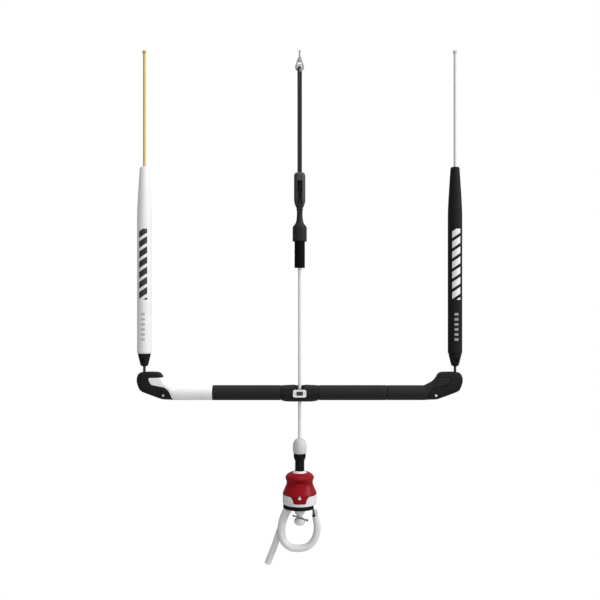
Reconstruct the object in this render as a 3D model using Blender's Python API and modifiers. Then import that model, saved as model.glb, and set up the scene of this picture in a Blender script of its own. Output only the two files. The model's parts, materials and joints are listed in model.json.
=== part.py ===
"""Kitesurf control bar: bar with floats, trim cleat, depower line, quick release and chicken loop.

The frame's origin is the top of the centre line, where the kite's lines are fastened. +Z runs
along the lines towards the kite, +X along the bar, and -Y is the side that faces the rider.
Outlines are written in millimetres, and MM turns them into Blender's metres.
"""

import math

import bmesh
import bpy
from mathutils import Vector

MM = 0.001
GAP = 0.3  # between two pieces that touch

# Driving dimensions, in millimetres
BAR_Z = -548.2  # axis of the bar
BAR_RADIUS = 12.0
LINE_X = 248.5  # each leader line's distance from the centre
GRIP_END = 139.0  # where the black grip meets the moulded bar end
SLEEVE_END = 199.0  # where the bar end stops being round
HUB_HALF = 30.0
TUBE_RADIUS = 8.0
TUBE_BORE = 6.5
SOCKET_RADIUS = TUBE_RADIUS + GAP

LEADER_RADIUS = 2.35
FLOAT_TOP = -187.7
FLOAT_BOTTOM = -485.3
CAP_BOTTOM = -505.8
SWING_Z = -514.5  # where a float's rope leaves the bar end

DEPOWER_RADIUS = 2.75
TRIM_ROPE_RADIUS = 1.9
TRIM_STRAND_X = 1.95
TAIL_Y = 6.6  # the trim rope's tail runs behind the depower line
CLEAT_TOP = -196.5
CLEAT_BOTTOM = -251.7

BODY_RADIUS = 27.1
HANDLE_LIP = -709.2  # lower edge of the red handle
BODY_BOTTOM = -724.4
BASE_BOTTOM = -730.8
COLUMN_RADIUS = 9.3
STEM_RADIUS = 7.4
SHAFT_RADIUS = 3.2
HOOK_PIVOT = (18.8, -721.0)
LOOP_PIVOT = (-19.5, -734.5)
FINGER_PIVOT = (-28.9, -763.0)
FINGER_Y = 12.0  # the finger swings behind the loop

PALETTE = {  # name: colour, roughness, metallic
    "black_plastic": ((0.02, 0.02, 0.021), 0.5, 0.0),
    "black_rubber": ((0.012, 0.012, 0.012), 0.7, 0.0),
    "black_foam": ((0.03, 0.03, 0.031), 0.75, 0.0),
    "black_rope": ((0.03, 0.03, 0.032), 0.85, 0.0),
    "white_plastic": ((0.78, 0.78, 0.77), 0.4, 0.0),
    "white_foam": ((0.8, 0.8, 0.79), 0.7, 0.0),
    "white_rope": ((0.62, 0.63, 0.64), 0.6, 0.0),
    "yellow_rope": ((0.75, 0.48, 0.08), 0.7, 0.0),
    "red_plastic": ((0.42, 0.01, 0.02), 0.45, 0.0),
    "steel": ((0.5, 0.51, 0.52), 0.3, 1.0),
    "aluminium": ((0.7, 0.7, 0.72), 0.4, 1.0),
}


# Scene, collections and materials


def clear_scene():
    for obj in list(bpy.data.objects):
        bpy.data.objects.remove(obj, do_unlink=True)


def make_collection(name):
    collection = bpy.data.collections.new(name)
    bpy.context.scene.collection.children.link(collection)
    return collection


def make_material(name):
    colour, roughness, metallic = PALETTE[name]
    material = bpy.data.materials.new(name)
    material.use_nodes = True
    shader = material.node_tree.nodes["Principled BSDF"]
    shader.inputs["Base Color"].default_value = (*colour, 1.0)
    shader.inputs["Roughness"].default_value = roughness
    shader.inputs["Metallic"].default_value = metallic
    material.diffuse_color = (*colour, 1.0)
    return material


clear_scene()
PARTS = make_collection("kite_control_bar")
CUTTERS = make_collection("cutters")
MATERIALS = {name: make_material(name) for name in PALETTE}


def metres(*values):
    return Vector(values) * MM


def place(name, data, look, at=(0, 0, 0), turn=(0, 0, 0), pivot=None):
    """Puts a mesh or curve in the scene as one piece, or as a cutter when look is None."""
    obj = bpy.data.objects.new(name, data)
    obj.location = metres(*at)
    obj.rotation_euler = turn
    if look is None:
        CUTTERS.objects.link(obj)
        obj.hide_render = True
        obj.display_type = "WIRE"
        return obj
    PARTS.objects.link(obj)
    data.materials.clear()
    data.materials.append(MATERIALS[look])
    if pivot:
        obj.parent = pivot
        obj.location -= pivot.location
    return obj


def pivot_at(name, at=(0, 0, 0)):
    """An empty on a joint's axis. The pieces that turn or slide there are its children."""
    empty = bpy.data.objects.new(name, None)
    empty.empty_display_size = 0.02
    empty.location = metres(*at)
    PARTS.objects.link(empty)
    return empty


# Shapes


def mesh_from(bm, name, smooth=35):
    mesh = bpy.data.meshes.new(name)
    bm.to_mesh(mesh)
    bm.free()
    if smooth:
        mesh.shade_smooth()
        mesh.set_sharp_from_angle(angle=math.radians(smooth))
    return mesh


def turned(name, outline, look, at=(0, 0, 0), turn=(0, 0, 0), pivot=None, steps=24):
    """A turned piece. Its outline (radius, height) runs down the outer side, top to bottom.

    An outline that starts on the axis makes a solid piece, and any other is closed into a ring.
    """
    bm = bmesh.new()
    points = [bm.verts.new(metres(radius, 0, height)) for radius, height in outline]
    for upper, lower in zip(points, points[1:]):
        bm.edges.new((upper, lower))
    if outline[0][0] > 0:
        bm.edges.new((points[-1], points[0]))
    mesh = mesh_from(bm, name, smooth=0)
    obj = place(name, mesh, look, at, turn, pivot)
    screw = obj.modifiers.new("turn", "SCREW")
    screw.angle = math.tau
    screw.steps = steps
    screw.render_steps = steps
    screw.use_merge_vertices = True
    screw.merge_threshold = 0.00001
    screw.use_smooth_shade = True
    return obj


def rod(name, radius, low, high, look, at=(0, 0, 0), turn=(0, 0, 0), pivot=None, steps=12):
    """A plain round rod, from low to high along its own Z."""
    outline = [(0, high), (radius, high), (radius, low), (0, low)]
    return turned(name, outline, look, at, turn, pivot, steps)


def rod_along_y(name, radius, low, high, centre, look, pivot=None, steps=12):
    """A rod along Y, from y = low to y = high, through (x, z) = centre."""
    at = (centre[0], 0, centre[1])
    return rod(name, radius, low, high, look, at, (-math.pi / 2, 0, 0), pivot, steps)


def box(name, low, high, look, pivot=None):
    bm = bmesh.new()
    bmesh.ops.create_cube(bm, size=1)
    size = [b - a for a, b in zip(low, high)]
    middle = [(a + b) / 2 for a, b in zip(low, high)]
    bmesh.ops.scale(bm, vec=metres(*size), verts=bm.verts)
    return place(name, mesh_from(bm, name, smooth=0), look, middle, pivot=pivot)


def flat(name, outline, low, high, look, pivot=None):
    """A flat outline (x, z), from y = low to y = high, made as a filled curve and meshed."""
    curve = bpy.data.curves.new(name, "CURVE")
    curve.dimensions = "2D"
    curve.fill_mode = "BOTH"
    curve.extrude = (high - low) / 2 * MM
    spline = curve.splines.new("POLY")
    spline.points.add(len(outline) - 1)
    for point, (x, z) in zip(spline.points, outline):
        point.co = (x * MM, z * MM, 0, 1)
    spline.use_cyclic_u = True
    return meshed(name, curve, look, (0, (low + high) / 2, 0), (math.pi / 2, 0, 0), pivot)


def tube(name, points, radius, look, pivot=None, radii=None, roundness=3):
    """A round tube, rope or wire along points (x, y, z), meshed with its caps welded."""
    curve = bpy.data.curves.new(name, "CURVE")
    curve.dimensions = "3D"
    curve.bevel_depth = radius * MM
    curve.bevel_resolution = roundness
    curve.use_fill_caps = True
    spline = curve.splines.new("POLY")
    spline.points.add(len(points) - 1)
    for index, point in enumerate(points):
        spline.points[index].co = (*metres(*point), 1)
        spline.points[index].radius = radii[index] / radius if radii else 1.0
    return meshed(name, curve, look, pivot=pivot)


def meshed(name, curve, look, at=(0, 0, 0), turn=(0, 0, 0), pivot=None):
    """Turns a curve into a closed mesh piece in the curve's own place."""
    guide = bpy.data.objects.new(name + "_guide", curve)
    CUTTERS.objects.link(guide)
    bpy.context.view_layer.update()
    graph = bpy.context.evaluated_depsgraph_get()
    mesh = bpy.data.meshes.new_from_object(guide.evaluated_get(graph))
    bpy.data.objects.remove(guide, do_unlink=True)
    bm = bmesh.new()
    bm.from_mesh(mesh)
    bmesh.ops.remove_doubles(bm, verts=bm.verts, dist=0.000001)
    bmesh.ops.recalc_face_normals(bm, faces=bm.faces)
    bm.to_mesh(mesh)
    bm.free()
    mesh.shade_smooth()
    mesh.set_sharp_from_angle(angle=math.radians(35))
    return place(name, mesh, look, at, turn, pivot)


def loft(name, rings, look, pivot=None):
    """A solid through rings of points, each ring with the same count, with flat end caps."""
    bm = bmesh.new()
    rows = [[bm.verts.new(metres(*point)) for point in ring] for ring in rings]
    count = len(rows[0])
    for near, far in zip(rows, rows[1:]):
        for index in range(count):
            after = (index + 1) % count
            bm.faces.new((near[index], near[after], far[after], far[index]))
    bm.faces.new(rows[0])
    bm.faces.new(list(reversed(rows[-1])))
    bmesh.ops.recalc_face_normals(bm, faces=bm.faces)
    return place(name, mesh_from(bm, name), look, pivot=pivot)


def oval(half_a, half_b, power=2.0, count=20):
    """Points (a, b) round a superellipse: power 2 is an ellipse and higher powers are boxier."""
    points = []
    for index in range(count):
        angle = math.tau * index / count
        cos, sin = math.cos(angle), math.sin(angle)
        a = math.copysign(abs(cos) ** (2 / power), cos) * half_a
        b = math.copysign(abs(sin) ** (2 / power), sin) * half_b
        points.append((a, b))
    return points


def level_ring(x, y, z, half_x, half_y, power=2.0):
    """A ring of points in a level plane."""
    return [(x + a, y + b, z) for a, b in oval(half_x, half_y, power)]


def cross_ring(x, top, bottom, half_y, power=2.0):
    """A ring of points across the bar, between a top and a bottom height."""
    middle, half = (top + bottom) / 2, (top - bottom) / 2
    return [(x, a, middle + b) for a, b in oval(half_y, half, power)]


def smooth_path(points, steps=3):
    """Points of a Catmull-Rom curve through points, with steps to each stretch."""
    ends = [points[0], *points, points[-1]]
    found = []
    for index in range(len(points) - 1):
        a, b, c, d = (Vector(p) for p in ends[index : index + 4])
        for step in range(steps):
            t = step / steps
            shape = b * 2 + (c - a) * t + (a * 2 - b * 5 + c * 4 - d) * t**2
            found.append(tuple((shape + (b * 3 - a - c * 3 + d) * t**3) / 2))
    return [*found, points[-1]]


def arc(centre, radius, start, end, count):
    """Points (x, z) of a round stretch, with angles in degrees counted from +X towards +Z."""
    points = []
    for index in range(count + 1):
        angle = math.radians(start + (end - start) * index / count)
        points.append((centre[0] + radius * math.cos(angle), centre[1] + radius * math.sin(angle)))
    return points


def combine(obj, other, operation="DIFFERENCE"):
    """Cuts, joins or intersects a piece with a cutter."""
    modifier = obj.modifiers.new(operation.lower(), "BOOLEAN")
    modifier.operation = operation
    modifier.solver = "EXACT"
    modifier.object = other
    return obj


# Kite line: the spliced centre line and its thimble


THIMBLE_CENTRE = (0, -27.2)
THIMBLE_INNER = 3.5
THIMBLE_OUTER = 4.8
EYE_RADIUS = 1.15
EYE_PATH_RADIUS = THIMBLE_OUTER + 0.25 + EYE_RADIUS


def teardrop(radius, throat_x, throat_z):
    """A path (x, z) from the throat's left side, round below the thimble, to its right side."""
    below = arc(THIMBLE_CENTRE, radius, 160, 380, 16)
    return [(-throat_x, throat_z), *below, (throat_x, throat_z)]


def kite_line():
    path = [(x, 0, z) for x, z in teardrop(EYE_PATH_RADIUS, 1.3, -12.5)]
    eye = tube("eye_loop", path, EYE_RADIUS, None)
    outline = [(0, 0), (1.5, -0.2), (1.9, -0.8), (1.9, -2.0), (1.5, -2.6), (1.5, -11.4), (0, -11.6)]
    line = turned("centre_line", outline, "white_rope", steps=16)
    throat = [(-10.6, 1.6, 1.6), (-12.2, 2.7, 1.8), (-13.2, 3.0, 1.8), (-16.8, 4.2, 1.9)]
    throat += [(-18.8, 4.9, 1.8), (-19.4, 4.6, 1.5)]
    rings = [level_ring(0, 0, *row) for row in throat]
    combine(line, loft("served_throat", rings, None), "UNION")
    combine(line, eye, "UNION")
    ring = [(THIMBLE_OUTER, 1.8), (THIMBLE_OUTER, -1.8), (THIMBLE_INNER, -1.8), (THIMBLE_INNER, 1.8)]
    at = (THIMBLE_CENTRE[0], 0, THIMBLE_CENTRE[1])
    turned("thimble", ring, "steel", at, (math.pi / 2, 0, 0))


# Centre line body: trim rope, cleat, depower line and the swivel's shaft and knob


def trim_rope(pivot):
    bight = [(1.9, 4.3, -31.5), (1.6, 3.6, -29.3), (1.0, 2.0, -27.9)]
    rise = [(TRIM_STRAND_X, 0, -62), (TRIM_STRAND_X, 1.0, -53), (TRIM_STRAND_X, 2.8, -44)]
    right = [*rise, (TRIM_STRAND_X, 4.2, -36), *bight]
    left = [(-x, -y, z) for x, y, z in right]
    dead_end = [(-TRIM_STRAND_X, 0, z) for z in (-209, -160, -110)]
    jammed = [(TRIM_STRAND_X, 0, z) for z in (-110, -160, -207)]
    led_back = [(1.2, 0.6, -220), (0.3, 3.4, -229), (0, 6.2, -237), (0, TAIL_Y, -243)]
    route = [*dead_end, *left, (0, 0, -27.3), *reversed(right), *jammed, *led_back]
    tube("trim_rope", [*route, (0, TAIL_Y, -249.4)], TRIM_ROPE_RADIUS, "black_rope", pivot)


def cleat(pivot):
    def ring(z, half_x, half_y):
        """A boxy ring with wide bevels at the front corners and narrow ones at the back."""
        front, back, wide, narrow = 1.5 - half_y, 1.5 + half_y, 0.48 * half_x, 2.2
        right = [(half_x - wide, front), (half_x, front + wide)]
        right += [(half_x, back - narrow), (half_x - narrow, back)]
        return [(x, y, z) for x, y in right + [(-x, y) for x, y in reversed(right)]]

    outline = [(CLEAT_TOP, 6.6, 7.4), (-199.8, 8.9, 9.2), (-202, 9.1, 9.5), (-240.5, 9.1, 9.5)]
    outline += [(-244, 8.5, 9.2), (CLEAT_BOTTOM, 5.8, 8.6)]
    housing = loft("cleat_housing", [ring(*row) for row in outline], "black_plastic", pivot)
    combine(housing, box("rope_entry", (-4.3, -2.3, -208), (4.3, 2.3, -190), None))
    combine(housing, box("cleat_chamber", (-5.9, -5.5, -245.2), (5.9, 9.0, -205.5), None))
    combine(housing, box("chamber_floor", (-5.0, -4.9, -248.0), (5.0, 9.0, -245.0), None))
    combine(housing, box("cleat_slot", (-3.9, -12, -246), (3.9, 0, -210), None))
    combine(housing, box("tongue_way", (-3.4, -12, -255), (3.4, 0, -245), None))
    combine(housing, rod("line_outlet", 3.1, -255, -246, None))
    combine(housing, rod("tail_outlet", 2.3, -255, -246, None, (0, TAIL_Y, 0)))
    screw_at = (0, -216)
    combine(housing, rod_along_y("screw_hole", 1.8, 7, 13, screw_at, None))
    rod_along_y("cleat_screw", 1.5, 4.8, 10.4, screw_at, "steel", pivot)

    insert = box("cleat_insert", (-5.6, -4.9, -224), (5.6, 8.7, -211), "aluminium", pivot)
    combine(insert, box("insert_channel", (-2.3, -8, -226), (4.1, 3.6, -209), None))
    combine(insert, box("insert_left_gap", (-4.2, -8, -213), (0, 3.6, -209), None))
    combine(insert, box("insert_back_gap", (-2.4, 1, -226), (4.1, 6.2, -219), None))
    combine(insert, rod_along_y("insert_hole", 1.8, 4, 13, screw_at, None))


def depower_line(pivot):
    outline = [(0, -238.6), (2.8, -239.2), (4.2, -241.5), (4.2, -244), (2.9, -246.4)]
    outline += [(DEPOWER_RADIUS, -246.6), (DEPOWER_RADIUS, -691.7), (0, -691.7)]
    turned("depower_line", outline, "white_rope", pivot=pivot, steps=16)


LOCK_PIN_SLOPE = math.atan2(8.0, 24.4)
LOCK_PIN_AT = (0.9, -4.2, -747.6)


def swivel_shaft(pivot):
    outline = [(0, -692.0), (5.6, -692.0), (5.6, -696.0), (SHAFT_RADIUS, -696.0)]
    outline += [(SHAFT_RADIUS, -757.0), (0, -757.0)]
    shaft = turned("swivel_shaft", outline, "steel", pivot=pivot, steps=16)
    knob_outline = [(4.7, -744.3), (4.7, -748.8), (7.4, -749.6), (9.0, -751.8), (9.0, -754.6)]
    knob_outline += [(7.6, -757.8), (5.0, -759.7), (3.5, -760.0), (3.5, -744.3)]
    knob = turned("untwist_knob", knob_outline, "white_plastic", pivot=pivot)
    turn = (0, math.pi / 2 + LOCK_PIN_SLOPE, 0)
    for piece in (shaft, knob):
        name = piece.name + "_cross_hole"
        combine(piece, rod(name, 1.6, -16, 16, None, LOCK_PIN_AT, turn))
    pin = [(0, -12.9), (1.1, -12.9), (1.6, -12.2), (1.6, -11.2), (1.25, -10.4), (1.25, 9.9)]
    pin += [(2.0, 10.9), (2.0, 12.3), (1.3, 13.3), (0, 13.5)]
    pin = [(radius, -height) for radius, height in pin]
    turned("knob_lock_pin", pin, "steel", LOCK_PIN_AT, (0, LOCK_PIN_SLOPE - math.pi / 2, 0), pivot, 12)


# Trim handle body


def trim_handle(pivot):
    centre_y = 2.9
    neck = [(-252.1, 4.5, 7.5), (-253.4, 5.2, 8.2), (-255.6, 5.3, 8.3), (-257.6, 4.6, 7.7)]
    neck += [(-268, 4.9, 7.9), (-274.6, 5.7, 8.5), (-278, 7.3, 9.3)]
    neck += [(-281.5, 10.2, 11.2), (-284.5, 11.6, 11.9)]
    ribs = []
    for z in (-287.6, -290.9, -294.2, -297.5, -300.8, -303.6):
        ribs += [(z + 0.9, 11.6, 11.9), (z, 11.0, 11.3), (z - 0.9, 11.6, 11.9)]
    foot = [(-305.4, 11.6, 11.9), (-306.2, 10.9, 11.2)]
    rows = [*neck, *ribs, *foot]
    rings = [level_ring(0, centre_y, z, half_x, half_y, 2.2) for z, half_x, half_y in rows]
    handle = loft("trim_handle", rings, "black_rubber", pivot)
    tongue = [(-243.8, 1.6, -5.7, 0.9), (-249, 2.9, -5.7, 1.1), (-252, 2.9, -5.7, 1.1)]
    tongue += [(-256.5, 4.2, -4.6, 1.1), (-261, 3.6, -3.9, 1.0)]
    rings = [level_ring(0, y, z, half_x, half_y, 3.0) for z, half_x, y, half_y in tongue]
    combine(handle, loft("handle_tongue", rings, None), "UNION")
    combine(handle, rod("line_way", 3.2, -310, -250, None))
    combine(handle, rod("tail_way", 2.3, -297, -250, None, (0, TAIL_Y, 0)))
    combine(handle, rod("spigot_way", 5.8, -312, -300, None))
    rod("trim_tail", TRIM_ROPE_RADIUS, -296.6, -249.8, "black_rope", (0, TAIL_Y, 0), pivot=pivot)
    outline = [(5.5, -300.5), (5.5, -306.6), (8.35, -306.6), (8.35, -348.6)]
    turned("bumper_tube", [*outline, (3.2, -348.6), (3.2, -300.5)], "black_rubber", pivot=pivot)


# Bar bodies: the bush on the line, the ring that turns on it, and the bar


def line_bush(slider, swivel):
    outline = [(6.0, 4.5), (6.0, 3.9), (4.6, 3.9), (4.6, -3.9), (6.0, -3.9), (6.0, -4.5)]
    at = (0, 0, BAR_Z)
    turned("line_bush", [*outline, (3.05, -4.5), (3.05, 4.5)], "white_plastic", at, pivot=slider)
    ball = [(7.5 * math.cos(a), 7.5 * math.sin(a)) for a in (0.49, 0.25, 0, -0.25, -0.49)]
    ring = [*ball, (4.9, ball[-1][1]), (4.9, ball[0][1])]
    turned("bush_ring", ring, "steel", at, pivot=swivel, steps=16)


def bar_hub(pivot):
    halves = [(30, -536.2, -560.2, 12.0), (27, -536.1, -561.3, 12.3), (21, -535.8, -562.4, 12.9)]
    halves += [(9, -535.2, -562.7, 13.4)]
    rows = [(-x, *rest) for x, *rest in halves] + list(reversed(halves))
    rings = [cross_ring(x, top, bottom, half_y, 2.2) for x, top, bottom, half_y in rows]
    hub = loft("bar_hub", rings, "black_plastic", pivot)
    for side, name in ((-1, "left"), (1, "right")):
        low, high = sorted((side * 13.5, side * 40))
        turn = (0, math.pi / 2, 0)
        combine(hub, rod("socket_" + name, SOCKET_RADIUS, low, high, None, (0, 0, BAR_Z), turn))
    bend = (1.1, 0.7, 0.35, 0, -0.35, -0.7, -1.1)
    ball = [(0, 8.0), *((8.0 * math.cos(a), 8.0 * math.sin(a)) for a in bend), (0, -8.0)]
    combine(hub, turned("ball_seat", ball, None, (0, 0, BAR_Z), steps=16))
    # (height, half width, front, back): the funnel opens the hub's front and not its back
    funnel = [(-545.0, 5.2, -3.7, 3.7), (-542.6, 6.0, -5.4, 4.6), (-540.6, 6.6, -16.0, 5.2)]
    funnel += [(-537.6, 8.3, -18.0, 6.0), (-535.2, 10.4, -19.0, 6.6), (-532.0, 12.5, -20.0, 7.4)]
    rings = []
    for z, half_x, front, back in funnel:
        rings.append(level_ring(0, (front + back) / 2, z, half_x, (back - front) / 2, 4.0))
    combine(hub, loft("line_funnel", rings, None))
    below = [(-551.5, 5.2, 3.7), (-558, 7.6, 4.0), (-565, 11.0, 4.6)]
    combine(hub, loft("line_exit", [level_ring(0, 0, *row) for row in below], None))
    combine(hub, box("plate_seat", (-10.8, -20, BAR_Z - 6.3), (10.8, -12.0, BAR_Z + 6.3), None))
    screws = []
    for side, name in ((-1, "left"), (1, "right")):
        at = (side * 7.6, BAR_Z)
        screws.append((name, at))
        combine(hub, rod_along_y("hub_screw_hole_" + name, 1.3, -14, -9, at, None))

    corner = 3.0
    outline = []
    for x, z, start in ((1, 1, 0), (-1, 1, 90), (-1, -1, 180), (1, -1, 270)):
        centre = (x * (10.5 - corner), BAR_Z + z * (6.0 - corner))
        outline += arc(centre, corner, start, start + 90, 5)
    plate = flat("hub_plate", outline, -13.9, -12.3, "aluminium", pivot)
    combine(plate, box("plate_panel", (-5.2, -20, BAR_Z - 3.3), (5.2, -13.5, BAR_Z + 3.3), None))
    for name, at in screws:
        combine(plate, rod_along_y("plate_hole_" + name, 1.9, -16, -10, at, None))
        head = [(0, -13.6), (1.5, -13.6), (1.5, -12.4), (1.0, -12.2), (1.0, -9.3), (0, -9.3)]
        head = [(radius, -y) for radius, y in head]
        turn = (math.pi / 2, 0, 0)
        turned("hub_screw_" + name, head, "steel", (at[0], 0, at[1]), turn, pivot, 12)


def sleeve_along_x(name, inner, outer, low, high, look, pivot, edge=0.0):
    """A round sleeve on the bar's axis, from x = low to x = high, with its outer edges eased."""
    outline = [(inner, high), (outer - edge, high), (outer, high - edge)]
    outline += [(outer, low + edge), (outer - edge, low), (inner, low)]
    if not edge:
        outline = [(inner, high), (outer, high), (outer, low), (inner, low)]
    return turned(name, outline, look, (0, 0, BAR_Z), (0, math.pi / 2, 0), pivot)


def grips(pivot):
    tube_end = SLEEVE_END + 14.2
    for side, name in ((-1, "left"), (1, "right")):
        low, high = sorted((side * 14, side * tube_end))
        tube_name = "bar_tube_" + name
        sleeve_along_x(tube_name, TUBE_BORE, TUBE_RADIUS, low, high, "aluminium", pivot)
        low, high = sorted((side * (HUB_HALF + GAP), side * (GRIP_END - GAP)))
        name = "grip_" + name
        sleeve_along_x(name, SOCKET_RADIUS, BAR_RADIUS, low, high, "black_foam", pivot, 0.8)


# (distance from the centre, top, bottom, half depth, boxiness) of a moulded bar end
END_SECTIONS = [
    (139.0, -536.8, -559.6, 11.4, 2.0),
    (139.6, -536.2, -560.2, 12.0, 2.0),
    (199.0, -536.2, -560.2, 12.0, 2.0),
    (203.0, -534.3, -559.9, 11.9, 2.2),
    (207.0, -532.3, -559.5, 11.7, 2.5),
    (211.4, -530.2, -559.3, 11.5, 2.8),
    (215.6, -526.6, -559.1, 11.2, 3.2),
    (218.4, -522.6, -558.7, 11.0, 3.6),
    (221.1, -518.0, -558.0, 10.8, 4.0),
    (224.2, -515.5, -556.9, 10.6, 4.2),
    (228.0, -514.7, -555.5, 10.5, 4.4),
    (236.0, -514.4, -552.6, 10.2, 4.4),
    (244.0, -514.5, -549.6, 10.0, 4.4),
    (251.0, -514.8, -546.9, 9.6, 4.2),
    (255.2, -516.0, -543.8, 9.0, 3.8),
    (258.0, -518.6, -538.2, 7.8, 3.2),
    (259.6, -522.0, -533.6, 6.0, 2.6),
    (260.3, -525.4, -530.4, 3.4, 2.2),
]

# The seam (distance, height) between a bar end's hard shell and the soft filler inside its hook
END_SEAM = [
    (201.0, -562.0),
    (204.0, -555.3),
    (207.2, -547.1),
    (210.0, -542.9),
    (215.5, -539.6),
    (225.6, -537.4),
    (235.4, -535.8),
    (238.4, -532.4),
    (241.0, -526.2),
    (239.8, -523.6),
    (227.4, -523.1),
    (214.0, -523.0),
]


def shifted(points, distance):
    """An open line of points (x, z), moved sideways by a distance to its left."""
    moved = []
    for index, (x, z) in enumerate(points):
        before = Vector(points[max(index - 1, 0)])
        after = Vector(points[min(index + 1, len(points) - 1)])
        along = (after - before).normalized()
        moved.append((x - along.y * distance, z + along.x * distance))
    return moved


def end_block(name, side, look, pivot):
    rings = [cross_ring(side * x, *rest) for x, *rest in END_SECTIONS]
    return loft(name, rings, look, pivot)


def bar_end(side, name, filler_look, pivot):
    """One moulded end: a hard hooked shell, the soft filler in its hook, and a screw."""
    beyond = [(214.0, -505.0), (275.0, -505.0), (275.0, -575.0), (201.0, -575.0)]
    shell_side = [(side * x, z) for x, z in END_SEAM + beyond]
    filler_cut = [(side * x, z) for x, z in shifted(END_SEAM, GAP) + beyond]
    shell = end_block("end_shell_" + name, side, "black_plastic", pivot)
    combine(shell, flat("shell_region_" + name, shell_side, -20, 20, None), "INTERSECT")
    filler = end_block("end_filler_" + name, side, filler_look, pivot)
    combine(filler, flat("filler_region_" + name, filler_cut, -20, 20, None))

    low, high = sorted((side * 130, side * (SLEEVE_END + 14.8)))
    turn = (0, math.pi / 2, 0)
    bore = rod("end_bore_" + name, SOCKET_RADIUS, low, high, None, (0, 0, BAR_Z), turn)
    combine(filler, bore)
    combine(shell, bore)
    rope_way = [(0, -505), (4.9, -505), (4.9, -514), (2.8, -518), (2.8, -529.5), (4.1, -530.5)]
    rope_way += [(4.1, -538.5), (0, -538.5)]
    combine(shell, turned("rope_way_" + name, rope_way, None, (side * LINE_X, 0, 0)))
    crease = [(229.6, -540.0), (227.0, -551.3), (223.7, -558.2), (222.4, -557.6)]
    crease = [(side * x, z) for x, z in crease + [(225.7, -550.9), (228.3, -539.8)]]
    combine(shell, flat("shell_crease_" + name, crease, -12, -9.5, None))
    screw_at = (side * 216.5, -551.7)
    combine(shell, rod_along_y("screw_way_" + name, 2.2, -16, -2, screw_at, None))
    rod_along_y("end_screw_" + name, 1.85, -10.6, -2.4, screw_at, "steel", pivot)
    knot = [(0, -517.2), (2.3, -517.2), (2.3, -530.4), (3.4, -531.2), (3.7, -533.4)]
    knot += [(3.2, -536.4), (1.5, -537.9), (0, -538.1)]
    at = (side * LINE_X, 0, 0)
    turned("leader_stop_knot_" + name, knot, "black_rope", at, pivot=pivot, steps=12)


# Float bodies


def float_body(side, name, float_look, rope_look, pivot):
    at = (side * LINE_X, 0, 0)
    outline = [(6.2, FLOAT_TOP), (7.1, -189.0), (7.35, -192), (8.3, -206), (9.3, -221)]
    outline += [(10.2, -236), (10.95, -250), (11.4, -268), (11.4, -484.6)]
    outline += [(10.8, FLOAT_BOTTOM), (0, FLOAT_BOTTOM)]
    outline = [(0, -203), (2.7, -203), (2.7, FLOAT_TOP), *outline]
    turned("float_" + name, outline, float_look, at, pivot=pivot)

    knot = [(0, 0), (2.3, -0.3), (3.0, -1.3), (3.2, -3.0), (3.0, -4.7), (LEADER_RADIUS, -5.8)]
    rope = [(LEADER_RADIUS, z) for z in (-100, -202.6)] + [(0, -202.6)]
    turned("leader_line_" + name, knot + rope, rope_look, at, pivot=pivot, steps=12)

    top = FLOAT_BOTTOM - GAP
    cap_outline = [(10.4, top), (9.9, -488.4), (6.5, -502.6), (5.4, -505.0)]
    cap_outline += [(3.9, CAP_BOTTOM), (2.6, CAP_BOTTOM), (2.6, -490), (0, -490)]
    cap = turned("float_cap_" + name, [(0, top), *cap_outline], "black_plastic", at, pivot=pivot)
    window = [(side * LINE_X + a, -496.2 + b) for a, b in oval(2.7, 3.6, count=16)]
    combine(cap, flat("cap_window_" + name, window, -16, -1.5, None))

    lower = [(0, -490.4), (2.25, -490.4), (2.25, SWING_Z), (1.95, SWING_Z - 1.2)]
    lower += [(1.1, SWING_Z - 2.0), (0, SWING_Z - 2.25)]
    turned("leader_lower_" + name, lower, "black_rope", at, pivot=pivot, steps=12)


# Quick release body


def stopper(pivot):
    dome = [(4.3, -621.9), (6.6, -622.9), (8.8, -625.2), (10.1, -628.4), (10.9, -633)]
    dome += [(11.1, -637), (10.8, -641), (10.2, -645.0), (3.15, -645.0), (3.15, -621.9)]
    turned("stopper_dome", dome, "white_plastic", pivot=pivot)
    collar = [(9.6, -645.3), (9.7, -645.9), (9.7, -651.4), (7.9, -656.0), (7.7, -656.4)]
    collar += [(7.7, -650.0), (3.15, -650.0), (3.15, -645.3)]
    turned("dome_collar", collar, "black_rubber", pivot=pivot)
    stem = [(STEM_RADIUS, -650.3), (STEM_RADIUS, -688.0), (5.0, -688.0), (5.0, -650.3)]
    turned("stem_tube", stem, "black_rubber", pivot=pivot)


def tongue_outline(margin):
    """The front tongue of the handle (x, z), grown by a margin."""
    half_bottom, corner, bottom = 10.1 + margin, 3.4, -720.1 - margin
    right = [(16.0 + margin, -708.0), (15.0 + margin, -709.2), (12.9 + margin, -710.9)]
    right += [(11.6 + margin, -712.8), (10.7 + margin, -714.8)]
    right += arc((half_bottom - corner, bottom + corner), corner, 0, -90, 4)
    return right + [(-x, z) for x, z in reversed(right)]


def skirt_ring(name, inner, outer, look):
    outline = [(outer, -700), (outer, -724), (inner, -724), (inner, -700)]
    return turned(name, outline, look, steps=36)


def tongue_solid(name, margin, inner, outer):
    """The curved block under the handle's two tongues, front and back, as a cutter."""
    block = skirt_ring(name, inner, outer, None)
    combine(block, flat(name + "_outline", tongue_outline(margin), -40, 40, None), "INTERSECT")
    return block


def body_notches(piece, tag):
    """Opens the notches that the loop's hinge and the release hook move in."""
    combine(piece, box("loop_notch_" + tag, (-40, -7.4, -740), (-11.8, 7.4, -723.3), None))
    combine(piece, box("hook_notch_" + tag, (14.6, -5.0, -740), (40, 5.0, -716.8), None))


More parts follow.
